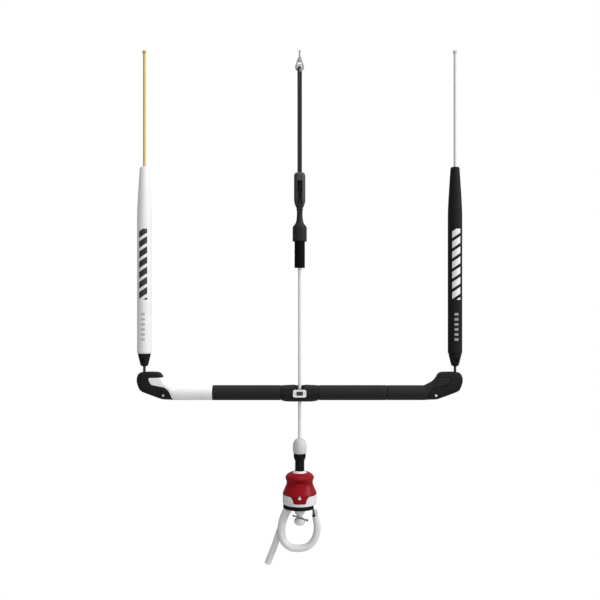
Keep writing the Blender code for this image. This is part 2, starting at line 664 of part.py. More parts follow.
def release_body(pivot):
    bore = STEM_RADIUS + GAP
    rim = HANDLE_LIP - GAP
    outline = [(COLUMN_RADIUS, -679.3), (COLUMN_RADIUS, rim), (BODY_RADIUS - 0.3, rim)]
    outline += [(BODY_RADIUS, rim - 0.4), (BODY_RADIUS, BODY_BOTTOM), (3.6, BODY_BOTTOM)]
    outline += [(3.6, -699.6), (6.4, -699.6), (6.4, -690), (bore, -690), (bore, -679.3)]
    body = turned("qr_body", outline, "white_plastic", pivot=pivot, steps=36)
    combine(body, tongue_solid("tongue_recess", GAP, 24.0, 28.0))
    body_notches(body, "body")
    for side, name in ((-1, "front"), (1, "back")):
        low, high = sorted((side * 4, side * 10.6))
        combine(body, rod_along_y("hook_pin_hole_" + name, 1.55, low, high, HOOK_PIVOT, None))
    rod_along_y("hook_pin", 1.25, -10.3, 10.3, HOOK_PIVOT, "steel", pivot)

    base = [(26.9, BODY_BOTTOM - GAP), (27.3, -725.2), (27.3, -730.2), (26.7, BASE_BOTTOM)]
    base += [(8.7, BASE_BOTTOM), (8.7, BODY_BOTTOM - GAP)]
    plate = turned("qr_base", base, "black_rubber", pivot=pivot, steps=36)
    body_notches(plate, "base")
    combine(plate, box("hook_side", (22.2, -20, -740), (40, 20, -720), None))

    ring = [(6.1, -696.3), (6.1, -699.3), (3.5, -699.3), (3.5, -696.3)]
    turned("swivel_bearing", ring, "steel", pivot=pivot)
    cup = [(8.4, BODY_BOTTOM - 0.5), (8.4, -738.6), (7.2, -741.8)]
    cup += [(5.4, -743.7), (3.5, -743.7), (3.5, BODY_BOTTOM - 0.5)]
    turned("swivel_cup", cup, "white_plastic", pivot=pivot)
    cap = [(8.4, -672.6), (11.0, -675.2), (11.6, -676.4), (11.6, -679.0)]
    cap += [(STEM_RADIUS + GAP, -679.0), (STEM_RADIUS + GAP, -672.6)]
    turned("spring_cap", cap, "white_plastic", pivot=pivot)


def handle_spring(pivot):
    turns, per_turn, mean = 4, 11, 10.6
    top, bottom = -680.2, -702.4
    route = []
    for index in range(turns * per_turn + 1):
        angle = math.tau * index / per_turn
        height = top + (bottom - top) * index / (turns * per_turn)
        route.append((mean * math.cos(angle), mean * math.sin(angle), height))
    tube("handle_spring", route, 0.75, "steel", pivot, roundness=1)


def loop_anchor(pivot):
    x, z = LOOP_PIVOT
    lobe = arc(LOOP_PIVOT, 6.8, 90, 360, 14)
    outline = [*lobe, (x + 6.8, -723.6), (x + 0.8, -723.6), (x + 0.8, z + 6.7)]
    anchor = flat("loop_anchor", outline, -6.9, 6.9, "white_plastic", pivot)
    combine(anchor, box("blade_way", (-40, -4.3, -745), (0, 4.3, -727.4), None))
    combine(anchor, rod_along_y("anchor_hole", 2.0, -9, 9, LOOP_PIVOT, None))
    rod_along_y("loop_pin", 1.7, -6.8, 6.8, LOOP_PIVOT, "steel", pivot)


# Release handle body


HANDLE_PROFILE = [  # (radius, height)
    (12.1, -675.3),
    (14.3, -675.6),
    (16.7, -676.5),
    (19.1, -678.0),
    (21.3, -679.9),
    (22.6, -681.7),
    (22.9, -683.2),
    (22.6, -684.8),
    (21.7, -687.0),
    (21.1, -689.4),
    (21.0, -692.0),
    (21.6, -694.9),
    (23.0, -698.4),
    (24.7, -702.2),
    (26.5, -706.4),
    (BODY_RADIUS, -708.0),
    (BODY_RADIUS, HANDLE_LIP),
]
SCOOP_DEPTH = 3.0  # of the finger hollows at the handle's front and back
SCOOP_Z = -691.0
SCOOP_ABOVE, SCOOP_BELOW = 4.4, 9.0  # how fast they fade above and below that height


def handle_ring(radius, z, count=36):
    """A level ring of the handle, pulled in at the front and back by the finger hollows."""
    reach_z = SCOOP_ABOVE if z > SCOOP_Z else SCOOP_BELOW
    level = SCOOP_DEPTH * math.exp(-(((z - SCOOP_Z) / reach_z) ** 2))
    points = []
    for index in range(count):
        angle = math.tau * index / count
        reach = radius - level * abs(math.sin(angle)) ** 3
        points.append((reach * math.cos(angle), reach * math.sin(angle), z))
    return points


def release_handle(pivot):
    handle = loft("release_handle", [handle_ring(*row) for row in HANDLE_PROFILE], "red_plastic", pivot)
    hollow = [(0, -670), (12.0, -670), (12.0, -677.2), (14.6, -679.6), (15.4, -683)]
    hollow += [(15.4, -703.4), (9.7, -703.4), (9.7, -706.2), (23.2, -706.2)]
    hollow += [(24.3, HANDLE_LIP), (24.3, -712), (0, -712)]
    combine(handle, turned("handle_hollow", hollow, None, steps=36))
    combine(handle, tongue_solid("tongue_solid", 0.0, 24.5, 26.9), "UNION")
    arrow_low, arrow_high, arrow_half = -712.6, -707.1, 2.9
    grow = 0.3
    pocket = [(-arrow_half - 2 * grow, arrow_low - grow), (arrow_half + 2 * grow, arrow_low - grow)]
    pocket += [(0, arrow_high + 2 * grow)]
    combine(handle, flat("arrow_pocket", pocket, -30, -26.0, None))
    arrow = [(-arrow_half, arrow_low), (arrow_half, arrow_low), (0, arrow_high)]
    flat("release_arrow", arrow, -27.1, -26.3, "white_plastic", pivot)


# Release hook body


def release_hook(pivot):
    head = arc(HOOK_PIVOT, 3.4, 20, 200, 8)
    left = [(16.9, -725.6), (19.0, -731.0), (21.7, -739.6), (22.1, -742.6), (19.7, -744.6)]
    right = [(19.8, -746.0), (24.8, -746.2), (24.9, -743.6), (23.5, -738.0), (21.2, -731.0)]
    hook = flat("release_hook", [*head, *left, *right, (20.9, -725.6)], -4.5, 4.5, "steel", pivot)
    combine(hook, box("hook_fork", (10, -3.0, -750), (40, 3.0, HOOK_PIVOT[1] - 3.9), None))
    combine(hook, rod_along_y("hook_hole", 1.55, -9, 9, HOOK_PIVOT, None))


# Loop body: hinge socket, loop and end fitting


LOOP_ROUTE = [
    (-19.5, 0, -734.5),
    (-24.4, 0, -745.4),
    (-28.0, 0, -756.0),
    (-29.3, 0, -767.0),
    (-28.2, 0, -779.0),
    (-22.6, 0, -789.6),
    (-12.0, 0, -796.4),
    (0.0, 0, -797.2),
    (12.4, 0, -794.4),
    (22.0, 0, -785.4),
    (27.0, 0, -773.0),
    (27.8, 0, -761.0),
    (26.0, 0, -749.8),
]
SOCKET_POINTS = 10  # the socket covers this many steps of the loop's route


def chicken_loop(pivot):
    route = smooth_path(LOOP_ROUTE)
    socket_route = route[: SOCKET_POINTS + 1]
    radii = [6.9 - 0.45 * index / SOCKET_POINTS for index in range(SOCKET_POINTS + 1)]
    socket = tube("loop_socket", socket_route, 6.9, "white_plastic", pivot, radii)
    combine(socket, rod_along_y("shoulder_cut", 7.3, -12, 12, LOOP_PIVOT, None))
    blade = [*arc(LOOP_PIVOT, 6.4, 10, 200, 12), (-29.3, -751.0), (-22.6, -752.6)]
    combine(socket, flat("hinge_blade", blade, -3.9, 3.9, None), "UNION")
    combine(socket, rod_along_y("finger_lug", 4.2, 3.0, 9.0, FINGER_PIVOT, None), "UNION")
    combine(socket, rod_along_y("loop_pin_hole", 2.0, -9, 9, LOOP_PIVOT, None))
    combine(socket, rod_along_y("finger_pin_hole", 1.8, -0.5, 12, FINGER_PIVOT, None))

    rest = route[SOCKET_POINTS:]
    start = Vector(rest[0])
    start += (Vector(rest[1]) - start).normalized() * 2.5 * GAP
    rest = [tuple(start), *rest[1:]]
    steps = len(rest) - 1
    radii = [6.2 - 0.7 * min(1.0, 1.6 * index / steps) for index in range(steps + 1)]
    tube("chicken_loop", rest, 6.2, "white_plastic", pivot, radii)

    end = Vector(route[-1])
    along = (end - Vector(route[-2])).normalized()
    base = [tuple(end + along * reach) for reach in (GAP, 1.2, 2.4)]
    fitting = tube("loop_end_fitting", base, 5.6, "white_plastic", pivot, [5.6, 5.6, 4.6])
    blade = [(20.8, -747.2), (22.6, -748.8), (29.2, -748.6), (28.9, -741.0), (27.8, -737.0)]
    blade += [(25.6, -734.9), (22.6, -735.4), (20.4, -738.2), (19.8, -742.4)]
    combine(fitting, flat("end_blade", blade, -2.0, 2.0, None), "UNION")
    combine(fitting, rod_along_y("end_boss", 1.5, -2.6, 2.6, (22.4, -742.0), None), "UNION")
    rod_along_y("finger_pin", 1.5, 0.2, 15.4, FINGER_PIVOT, "steel", pivot)


def loop_finger(pivot):
    x, z = FINGER_PIVOT
    route = [(x, FINGER_Y, z + 3.2), (x, FINGER_Y, z), (-34.6, FINGER_Y, -779)]
    route += [(-40.6, FINGER_Y, -797), (-46.4, FINGER_Y, -811.5), (-50.4, FINGER_Y, -821.4)]
    route = smooth_path(route)
    tip = [(-51.5, FINGER_Y, -824.2), (-52.0, FINGER_Y, -825.5), (-52.3, FINGER_Y, -826.3)]
    radii = [3.6] + [5.2] * (len(route) - 1) + [5.0, 4.3, 3.0]
    radii[1] = 4.8
    finger = tube("loop_finger", [*route, *tip], 5.2, "white_plastic", pivot, radii)
    combine(finger, box("finger_flat", (x - 9, 0, z - 7), (x + 9, 9.3, z + 9), None))
    combine(finger, rod_along_y("finger_hole", 1.8, 5, 20, FINGER_PIVOT, None))


def main():
    trim = pivot_at("trim_pivot")
    trim_grip = pivot_at("trim_handle_pivot")
    slider = pivot_at("bar_slide_pivot", (0, 0, BAR_Z))
    swivel = pivot_at("bar_spin_pivot", (0, 0, BAR_Z))
    bar = pivot_at("bar_tilt_pivot", (0, 0, BAR_Z))
    release = pivot_at("qr_swivel_pivot")
    push = pivot_at("handle_push_pivot")
    hook = pivot_at("hook_pivot", (HOOK_PIVOT[0], 0, HOOK_PIVOT[1]))
    loop = pivot_at("loop_pivot", (LOOP_PIVOT[0], 0, LOOP_PIVOT[1]))
    finger = pivot_at("finger_pivot", (FINGER_PIVOT[0], FINGER_Y, FINGER_PIVOT[1]))

    kite_line()
    trim_rope(trim)
    cleat(trim)
    depower_line(trim)
    swivel_shaft(trim)
    trim_handle(trim_grip)
    line_bush(slider, swivel)
    bar_hub(bar)
    grips(bar)
    ends = ((-1, "left", "white_foam", "yellow_rope"), (1, "right", "black_foam", "white_rope"))
    for side, name, foam, rope in ends:
        bar_end(side, name, foam, bar)
        swing = pivot_at("float_pivot_" + name, (side * LINE_X, 0, SWING_Z))
        float_body(side, name, foam, rope, swing)
    stopper(release)
    release_body(release)
    handle_spring(release)
    loop_anchor(release)
    release_handle(push)
    release_hook(hook)
    chicken_loop(loop)
    loop_finger(finger)


main()
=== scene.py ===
"""The look of a kitesurf control bar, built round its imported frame.

Outlines are written in millimetres and MM turns them into metres. +Z runs up the lines towards
the kite, +X along the bar, and -Y faces the rider and the camera.
"""

import json
import math

import bmesh
import bpy
import numpy as np
from mathutils import Matrix, Vector

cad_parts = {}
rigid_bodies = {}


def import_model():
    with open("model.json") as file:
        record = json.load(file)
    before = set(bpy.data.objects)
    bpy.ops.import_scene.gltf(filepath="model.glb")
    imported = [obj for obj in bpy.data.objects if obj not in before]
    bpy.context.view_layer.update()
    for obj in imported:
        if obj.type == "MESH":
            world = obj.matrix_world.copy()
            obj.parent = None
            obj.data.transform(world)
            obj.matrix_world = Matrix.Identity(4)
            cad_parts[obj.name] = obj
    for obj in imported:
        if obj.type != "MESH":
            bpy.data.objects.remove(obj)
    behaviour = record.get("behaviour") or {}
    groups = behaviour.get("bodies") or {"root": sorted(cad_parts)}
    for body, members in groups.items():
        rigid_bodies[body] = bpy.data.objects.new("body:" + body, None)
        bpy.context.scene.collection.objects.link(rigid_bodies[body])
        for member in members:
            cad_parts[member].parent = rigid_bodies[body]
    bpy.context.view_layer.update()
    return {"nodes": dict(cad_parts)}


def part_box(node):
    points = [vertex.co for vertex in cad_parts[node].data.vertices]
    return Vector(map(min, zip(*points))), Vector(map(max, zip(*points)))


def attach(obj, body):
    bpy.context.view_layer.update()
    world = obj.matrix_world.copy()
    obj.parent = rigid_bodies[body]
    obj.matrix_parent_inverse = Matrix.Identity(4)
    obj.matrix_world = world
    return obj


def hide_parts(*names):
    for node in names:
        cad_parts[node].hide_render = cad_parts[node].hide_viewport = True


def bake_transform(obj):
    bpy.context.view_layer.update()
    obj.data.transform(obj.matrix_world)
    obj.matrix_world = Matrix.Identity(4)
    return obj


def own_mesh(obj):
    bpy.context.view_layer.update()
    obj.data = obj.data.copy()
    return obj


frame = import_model()

MM = 0.001
SMOOTH_ANGLE = math.radians(38)

# Dimensions shared with the frame, in millimetres
BAR_Z = -548.2
BAR_RADIUS = 12.0
TUBE_SOCKET = 8.3
LINE_X = 248.5
LEADER_RADIUS = 2.35
LEADER_START, LEADER_END = -200.0, -1.0
FLOAT_TOP = -187.7
FLOAT_BOTTOM = -485.3
TAIL_Y = 6.6
FINGER_PIVOT = (-28.9, -763.0)
FINGER_Y = 12.0
GRIP_NEAR, GRIP_FAR = 30.3, 138.7  # the grips' ends, out from the hub

# How meshes are made
ON_AXIS = 0.01  # the radius, in millimetres, of the small ring that closes a turned solid
CURVE_STEPS = 24  # points on a curve between two of the points that it goes through
PLAIT_PITCH = 1.25  # how long a strand shows on a braid, for its width
WRAP_STEPS = 20  # points on one turn of a whipping


# Meshes


def placed(name, data):
    """A new object in the scene."""
    obj = bpy.data.objects.new(name, data)
    bpy.context.scene.collection.objects.link(obj)
    return obj


def new_piece(name, mesh, material, body=None, replaces=()):
    """Shows a mesh as one piece that rides on a body and stands for nodes of the frame."""
    obj = placed(name, mesh)
    mesh.shade_smooth()
    mesh.set_sharp_from_angle(angle=SMOOTH_ANGLE)
    mesh.materials.clear()
    mesh.materials.append(material)
    if body:
        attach(obj, body)
    if replaces:
        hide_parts(*replaces)
    return obj


def grid_mesh(name, rows, wrap_rows=False, relief=None):
    """A closed mesh through rows of points that each close round, in millimetres.

    relief is a number from 0 to 1 at each point, kept as the attribute of that name.
    """
    rows = np.asarray(rows, float)
    count, around = rows.shape[:2]
    index = np.arange(count * around).reshape(count, around)
    low = index if wrap_rows else index[:-1]
    high = np.roll(index, -1, axis=0) if wrap_rows else index[1:]
    after_low, after_high = np.roll(low, -1, axis=1), np.roll(high, -1, axis=1)
    faces = np.stack([low, after_low, after_high, high], axis=-1).reshape(-1, 4).tolist()
    if not wrap_rows:
        faces.append(index[0][::-1].tolist())
        faces.append(index[-1].tolist())
    mesh = bpy.data.meshes.new(name)
    mesh.from_pydata((rows.reshape(-1, 3) * MM).tolist(), [], faces)
    if relief is not None:
        layer = mesh.attributes.new("relief", "FLOAT", "POINT")
        layer.data.foreach_set("value", np.asarray(relief, np.float32).ravel())
    bm = bmesh.new()
    bm.from_mesh(mesh)
    bmesh.ops.recalc_face_normals(bm, faces=bm.faces)
    bm.to_mesh(mesh)
    bm.free()
    return mesh


def curve_through(points, spacing):
    """Evenly spaced points, about spacing apart, on a smooth curve through points."""
    ends = np.array([points[0], *points, points[-1]], float)
    dense = []
    for a, b, c, d in zip(ends, ends[1:], ends[2:], ends[3:]):
        t = np.linspace(0, 1, CURVE_STEPS, endpoint=False)[:, None]
        part = 2 * b + (c - a) * t + (2 * a - 5 * b + 4 * c - d) * t**2
        dense.append((part + (3 * b - a - 3 * c + d) * t**3) / 2)
    dense = np.concatenate([*dense, ends[-1:]])
    run = np.concatenate([[0], np.cumsum(np.linalg.norm(np.diff(dense, axis=0), axis=1))])
    count = max(2, int(round(run[-1] / spacing)) + 1)
    along = np.linspace(0, run[-1], count)
    return np.stack([np.interp(along, run, dense[:, k]) for k in range(3)], axis=1), along


def frames_along(path):
    """Two unit vectors across the path at each of its points, with no twist between points."""
    along = np.gradient(path, axis=0)
    along /= np.linalg.norm(along, axis=1)[:, None]
    first = np.cross(along[0], (0, 1, 0))
    if np.linalg.norm(first) < 0.1:
        first = np.cross(along[0], (1, 0, 0))
    across = [first / np.linalg.norm(first)]
    for tangent in along[1:]:
        side = across[-1] - tangent * np.dot(across[-1], tangent)
        across.append(side / np.linalg.norm(side))
    across = np.array(across)
    return across, np.cross(along, across)


def tube_rows(path, radii, around):
    """Rows of points round a path. radii has one number, or one row of them, at each point."""
    across, up = frames_along(path)
    angle = np.linspace(0, math.tau, around, endpoint=False)
    radii = np.asarray(radii, float)
    if radii.ndim == 1:
        radii = radii[:, None]
    ring = across[:, None, :] * np.cos(angle)[None, :, None]
    ring = ring + up[:, None, :] * np.sin(angle)[None, :, None]
    return path[:, None, :] + ring * radii[:, :, None]


def plait(angle, along, radius, strands):
    """The height of a braided sheath, from 0 in the valleys to 1 on the strands."""
    cell = math.tau * radius / strands
    turn = strands * angle[None, :] / math.tau
    run = along[:, None] / (cell * PLAIT_PITCH)
    left, right = turn + run, turn - run
    over = (np.floor(left) + np.floor(right)) % 2 == 0
    across = np.where(over, left % 1, right % 1)
    down = np.where(over, right % 1, left % 1)
    crown = 1 - np.abs(2 * across - 1) ** 3
    return crown * (0.45 + 0.55 * np.sin(math.pi * down))


def rope_mesh(name, points, radius, strands=8, depth=0.16, radii=None, per_strand=4):
    """A braided rope along points, and its centre line in metres.

    depth is the share of the radius that the valleys lie below the strands, and radii gives
    (distance, radius) pairs for a rope that changes its thickness.
    """
    spacing = math.tau * radius / strands * PLAIT_PITCH / per_strand
    path, along = curve_through(points, spacing)
    height = plait(np.linspace(0, math.tau, strands * 4, endpoint=False), along, radius, strands)
    base = np.full(len(along), radius)
    if radii:
        base = np.interp(along, [a for a, _ in radii], [b for _, b in radii])
    rows = tube_rows(path, base[:, None] * (1 - depth * (1 - height)), strands * 4)
    return grid_mesh(name, rows, relief=height), path * MM


def refined(outline, longest):
    """An outline with extra points on its long straight stretches."""
    found = []
    for (r0, z0), (r1, z1) in zip(outline, outline[1:]):
        steps = max(1, int(math.hypot(r1 - r0, z1 - z0) / longest))
        for step in range(steps):
            t = step / steps
            found.append((r0 + (r1 - r0) * t, z0 + (z1 - z0) * t))
    return [*found, outline[-1]]


def eased(outline, amount, closed=True):
    """An outline with its corners cut back by up to amount and rounded."""
    found = []
    count = len(outline)
    for index, point in enumerate(outline):
        here = Vector(point)
        if not closed and index in (0, count - 1):
            found.append(tuple(here))
            continue
        before = Vector(outline[index - 1]) - here
        after = Vector(outline[(index + 1) % count]) - here
        cut = min(amount, before.length * 0.45, after.length * 0.45)
        start, end = here + before.normalized() * cut, here + after.normalized() * cut
        for t in (0, 0.25, 0.5, 0.75, 1):
            bend = start * (1 - t) ** 2 + here * 2 * t * (1 - t) + end * t**2
            found.append(tuple(bend))
    return found


def turned_mesh(name, outline, around=64, ring=True, at=(0, 0, 0), axis="Z"):
    """A turned mesh from an outline (radius, height), about an axis through a place.

    ring closes the outline on itself, and without it the ends are closed by flat faces.
    """
    angle = np.linspace(0, math.tau, around, endpoint=False)
    radius, height = np.array(outline, float).T
    radius = np.maximum(radius, ON_AXIS)
    rows = np.stack(
        [
            radius[:, None] * np.cos(angle)[None],
            radius[:, None] * np.sin(angle)[None],
            np.repeat(height[:, None], around, axis=1),
        ],
        axis=-1,
    )
    if axis == "X":
        rows = rows[..., [2, 0, 1]]
    rows = rows + np.array(at, float)
    return grid_mesh(name, rows, wrap_rows=ring)


def rod_mesh(name, radius, low, high, around=32, at=(0, 0, 0)):
    """A plain rod along Z, from low to high."""
    outline = [(ON_AXIS, high), (radius, high), (radius, low), (ON_AXIS, low)]
    return turned_mesh(name, outline, around, ring=False, at=at)


def winding(turns):
    """The angle and the number of turns done at each point of a whipping."""
    steps = range(int(turns * WRAP_STEPS) + 1)
    return [(math.tau * step / WRAP_STEPS, step / WRAP_STEPS) for step in steps]


# Materials

FAINT_INK = 0.42  # how strongly the floats' dashes are printed
PLATE_PANEL = (0.00519, 0.00329)  # the half width and half height of the hub plate's dark panel


class Nodes:
    """A material's node tree, with short ways to add nodes and links."""

    def __init__(self, name):
        self.material = bpy.data.materials.new(name)
        self.material.use_nodes = True
        self.tree = self.material.node_tree
        self.shader = self.tree.nodes["Principled BSDF"]
        coords = self.tree.nodes.new("ShaderNodeTexCoord")
        self.place = coords.outputs["Object"]

    def add(self, kind, settings=None, **inputs):
        """A shader node with its settings and inputs."""
        node = self.tree.nodes.new("ShaderNode" + kind)
        for key, value in (settings or {}).items():
            setattr(node, key, value)
        for key, value in inputs.items():
            self.put(node.inputs[key.replace("_", " ")], value)
        return node

    def put(self, socket, value):
        """Links an output to a socket, or sets its value."""
        if isinstance(value, bpy.types.NodeSocket):
            self.tree.links.new(value, socket)
        else:
            socket.default_value = value

    def math(self, operation, a, b=0.0, c=0.0):
        """The result of a sum or a test."""
        node = self.tree.nodes.new("ShaderNodeMath")
        node.operation = operation
        for socket, value in zip(node.inputs, (a, b, c)):
            self.put(socket, value)
        return node.outputs[0]

    def noise(self, scale, detail=3.0, roughness=0.55, stretch=None):
        """Smooth noise, with scale patches to the metre, drawn out along an axis if asked."""
        where = self.place
        if stretch:
            mapping = self.add("Mapping", Vector=where, Scale=stretch)
            where = mapping.outputs["Vector"]
        node = self.add("TexNoise", Vector=where, Scale=scale, Detail=detail, Roughness=roughness)
        return node.outputs["Fac"]

    def ramp(self, value, low, high, to_low=0.0, to_high=1.0, smooth=False):
        """Maps a value from one range to another."""
        node = self.tree.nodes.new("ShaderNodeMapRange")
        if smooth:
            node.interpolation_type = "SMOOTHSTEP"
        for key, given in zip(("Value", "From Min", "From Max"), (value, low, high)):
            self.put(node.inputs[key], given)
        node.inputs["To Min"].default_value = to_low
        node.inputs["To Max"].default_value = to_high
        return node.outputs["Result"]

    def mix(self, amount, a, b):
        """A colour between a and b."""
        node = self.tree.nodes.new("ShaderNodeMix")
        node.data_type = "RGBA"
        self.put(node.inputs["Factor"], amount)
        for socket, value in ((node.inputs[6], a), (node.inputs[7], b)):
            value = (*value, 1.0) if isinstance(value, tuple) and len(value) == 3 else value
            self.put(socket, value)
        return node.outputs[2]

    def bump(self, height, strength, distance, normal=None):
        """A relief of the surface, on top of another one if given."""
        node = self.add("Bump", Height=height, Strength=strength, Distance=distance)
        if normal:
            self.tree.links.new(normal, node.inputs["Normal"])
        return node.outputs["Normal"]

    def finish(self, colour, roughness, normal=None, **fixed):
        """Ends the material. fixed holds the shader's plain numbers."""
        self.put(self.shader.inputs["Base Color"], colour)
        self.put(self.shader.inputs["Roughness"], roughness)
        if normal:
            self.put(self.shader.inputs["Normal"], normal)
        for key, value in fixed.items():
            self.shader.inputs[key.replace("_", " ")].default_value = value
        return self.material


def scaled(colour, factor):
    """A lighter or darker colour."""
    return tuple(min(1.0, channel * factor) for channel in colour)


def moulded(name, colour, rough, grain=1500, depth=0.00006, scuffs=0.35, **fixed):
    """Moulded plastic or rubber: faint patches, a fine grain and a few scuffs."""
    n = Nodes(name)
    patches = n.noise(38, 4)
    base = n.mix(patches, scaled(colour, 0.86), scaled(colour, 1.12))
    streaks = n.noise(240, 5, 0.7, stretch=(1.0, 1.0, 0.35))
    marks = n.ramp(streaks, 0.62, 0.74, 0.0, scuffs, smooth=True)
    lighter = tuple(channel + (0.5 - channel) * 0.12 for channel in colour)
    base = n.mix(marks, base, lighter)
    fine = n.noise(grain, 2, 0.5)
    roughness = n.ramp(n.math("ADD", patches, marks), 0.2, 1.3, rough - 0.06, rough + 0.12)
    normal = n.bump(fine, 0.35, depth)
    return n.finish(base, roughness, normal, **fixed)


def foam(name, colour, rough, cell=900, depth=0.00009, print_colour=None, centre_x=0.0, **fixed):
    """Closed-cell foam: small cells with painted shade in their pits, soft mottling, and a printed
    pattern where asked.
    """
    n = Nodes(name)
    mottle = n.noise(55, 4)
    base = n.mix(mottle, scaled(colour, 0.9), scaled(colour, 1.06))
    cells = n.add("TexVoronoi", Vector=n.place, Scale=cell).outputs["Distance"]
    pits = n.ramp(cells, 0.0, 0.55)
    # Painted shade: the bottom of each cell's pit is darkened towards a darker copy of the colour.
    base = n.mix(n.ramp(pits, 0.0, 0.35, 0.16, 0.0), base, scaled(colour, 0.55))
    if print_colour:
        base = n.mix(printed_bars(n, centre_x), base, print_colour)
    roughness = n.ramp(mottle, 0.3, 0.7, rough - 0.05, rough + 0.07)
    soft = n.noise(160, 3)
    normal = n.bump(pits, 0.25, depth, n.bump(soft, 0.15, 0.0003))
    return n.finish(base, roughness, normal, **fixed)


def printed_bars(n, centre_x):
    """How much ink a float carries: a column of slanted bars, and fainter dashes under it."""
    split = n.add("SeparateXYZ", Vector=n.place)
    x = n.math("SUBTRACT", split.outputs["X"], centre_x)
    z = split.outputs["Z"]

    def band(half_width, top, bottom, pitch, share, slant):
        """Bars in a column, in metres. share is how much of each pitch is printed."""
        inside = n.math("LESS_THAN", n.math("ABSOLUTE", x), half_width)
        above = n.math("LESS_THAN", z, top)
        below = n.math("GREATER_THAN", z, bottom)
        run = n.math("DIVIDE", n.math("SUBTRACT", top, z), pitch)
        run = n.math("ADD", run, n.math("MULTIPLY", x, slant))
        bar = n.math("LESS_THAN", n.math("FRACT", run), share)
        both = n.math("MULTIPLY", inside, bar)
        return n.math("MULTIPLY", n.math("MULTIPLY", above, below), both)

    large = band(0.0064, top=-0.2868, bottom=-0.3996, pitch=0.0161, share=0.66, slant=42.0)
    small = band(0.0031, top=-0.4206, bottom=-0.4686, pitch=0.0080, share=0.5, slant=0.0)
    small = n.math("MULTIPLY", small, FAINT_INK)
    wear = n.ramp(n.noise(700, 4, 0.7), 0.3, 0.36)
    return n.math("MULTIPLY", n.math("MAXIMUM", large, small), wear)


def braided(name, colour, valley_shade, rough=0.8, sheen=0.3):
    """Braided rope: painted shade in the valleys between strands, fibres on them, and a little fuzz.
    """
    n = Nodes(name)
    relief = n.add("Attribute", {"attribute_name": "relief"}).outputs["Fac"]
    fibres = n.noise(2600, 3, 0.6)
    tone = n.noise(90, 3)
    base = n.mix(tone, scaled(colour, 0.88), scaled(colour, 1.1))
    base = n.mix(n.ramp(fibres, 0.35, 0.7, 0.0, 0.3), base, scaled(colour, 0.7))
    # Painted shade: the valleys between strands take the darker valley colour.
    base = n.mix(n.ramp(relief, 0.0, 0.5, 0.6, 0.0), base, valley_shade)
    normal = n.bump(fibres, 0.4, 0.00008)
    roughness = n.ramp(fibres, 0.2, 0.8, rough - 0.08, rough + 0.1)
    return n.finish(base, roughness, normal, Sheen_Weight=sheen, Sheen_Roughness=0.5)


def metal(name, colour, rough, stretch=(1.0, 1.0, 12.0), scale=180, panel=False):
    """Machined or drawn metal: fine drawn lines and small pits, and a dark panel if asked."""
    n = Nodes(name)
    lines = n.noise(scale, 4, 0.6, stretch=stretch)
    spots = n.noise(520, 3)
    base = n.mix(lines, scaled(colour, 0.82), scaled(colour, 1.12))
    roughness = n.ramp(n.math("ADD", lines, spots), 0.6, 1.4, rough - 0.07, rough + 0.12)
    normal = n.bump(lines, 0.2, 0.00004)
    if not panel:
        return n.finish(base, roughness, normal, Metallic=1.0)
    split = n.add("SeparateXYZ", Vector=n.place)
    high = n.math("SUBTRACT", split.outputs["Z"], BAR_Z * MM)
    half_width, half_height = PLATE_PANEL
    inside = n.math("LESS_THAN", n.math("ABSOLUTE", split.outputs["X"]), half_width)
    level = n.math("LESS_THAN", n.math("ABSOLUTE", high), half_height)
    painted = n.math("MULTIPLY", inside, level)
    n.put(n.shader.inputs["Metallic"], n.math("SUBTRACT", 1.0, painted))
    return n.finish(n.mix(painted, base, BLACK), roughness, normal)


BLACK = (0.011, 0.011, 0.0115)
WHITE = (0.76, 0.76, 0.755)
RED = (0.245, 0.003, 0.008)
DULL = {"Specular_IOR_Level": 0.2}
VERY_DULL = {"Specular_IOR_Level": 0.1}
LOOKS = {
    "black_plastic": moulded("black_plastic", BLACK, 0.48, **VERY_DULL),
    "satin_black": moulded("satin_black", (0.032, 0.032, 0.033), 0.42, Specular_IOR_Level=0.35),
    "dark_plastic": moulded("dark_plastic", (0.005,) * 3, 0.5, **VERY_DULL),
    "deep_black": moulded("deep_black", (0.002,) * 3, 0.6, scuffs=0.02, Specular_IOR_Level=0.06),
    "black_rubber": moulded("black_rubber", (0.016, 0.016, 0.0165), 0.6, 1100, depth=0.0001, **DULL),
    "white_plastic": moulded("white_plastic", (0.68, 0.68, 0.675), 0.42, scuffs=0.2),
    "white_rubber": moulded("white_rubber", (0.56,) * 3, 0.5, 1000, 0.00008, scuffs=0.15),
    "loop_rubber": moulded("loop_rubber", (0.67,) * 3, 0.42, 700, scuffs=0.15),
    "red_plastic": moulded("red_plastic", RED, 0.36, 1300, 0.00005, scuffs=0.06, **VERY_DULL),
    "black_grip": foam("black_grip", (0.0125, 0.0125, 0.013), 0.7, 1100, **DULL),
    "white_grip": foam("white_grip", (0.8, 0.8, 0.795), 0.62, 1100),
    "steel": metal("steel", (0.55, 0.56, 0.57), 0.3),
    "dark_steel": metal("dark_steel", (0.05, 0.05, 0.052), 0.36),
    "pin_steel": metal("pin_steel", (0.2, 0.2, 0.205), 0.4),
    "plate": metal("plate", (0.72, 0.72, 0.73), 0.45, (1, 1, 1), scale=400, panel=True),
    # Each rope's second colour is the painted shade in the valleys between its strands.
    "black_rope": braided("black_rope", (0.02, 0.02, 0.021), (0.009, 0.009, 0.0095), sheen=0.03),
    "yellow_rope": braided("yellow_rope", (0.67, 0.46, 0.122), (0.42, 0.26, 0.06), 0.7),
    "white_rope": braided("white_rope", (0.62, 0.63, 0.64), (0.38, 0.38, 0.39), 0.7),
    "grey_rope": braided("grey_rope", (0.42, 0.42, 0.425), (0.2, 0.2, 0.205), 0.7, sheen=0.1),
    "coated_rope": braided("coated_rope", (0.71, 0.72, 0.73), (0.5, 0.5, 0.51), 0.42, sheen=0.1),
}

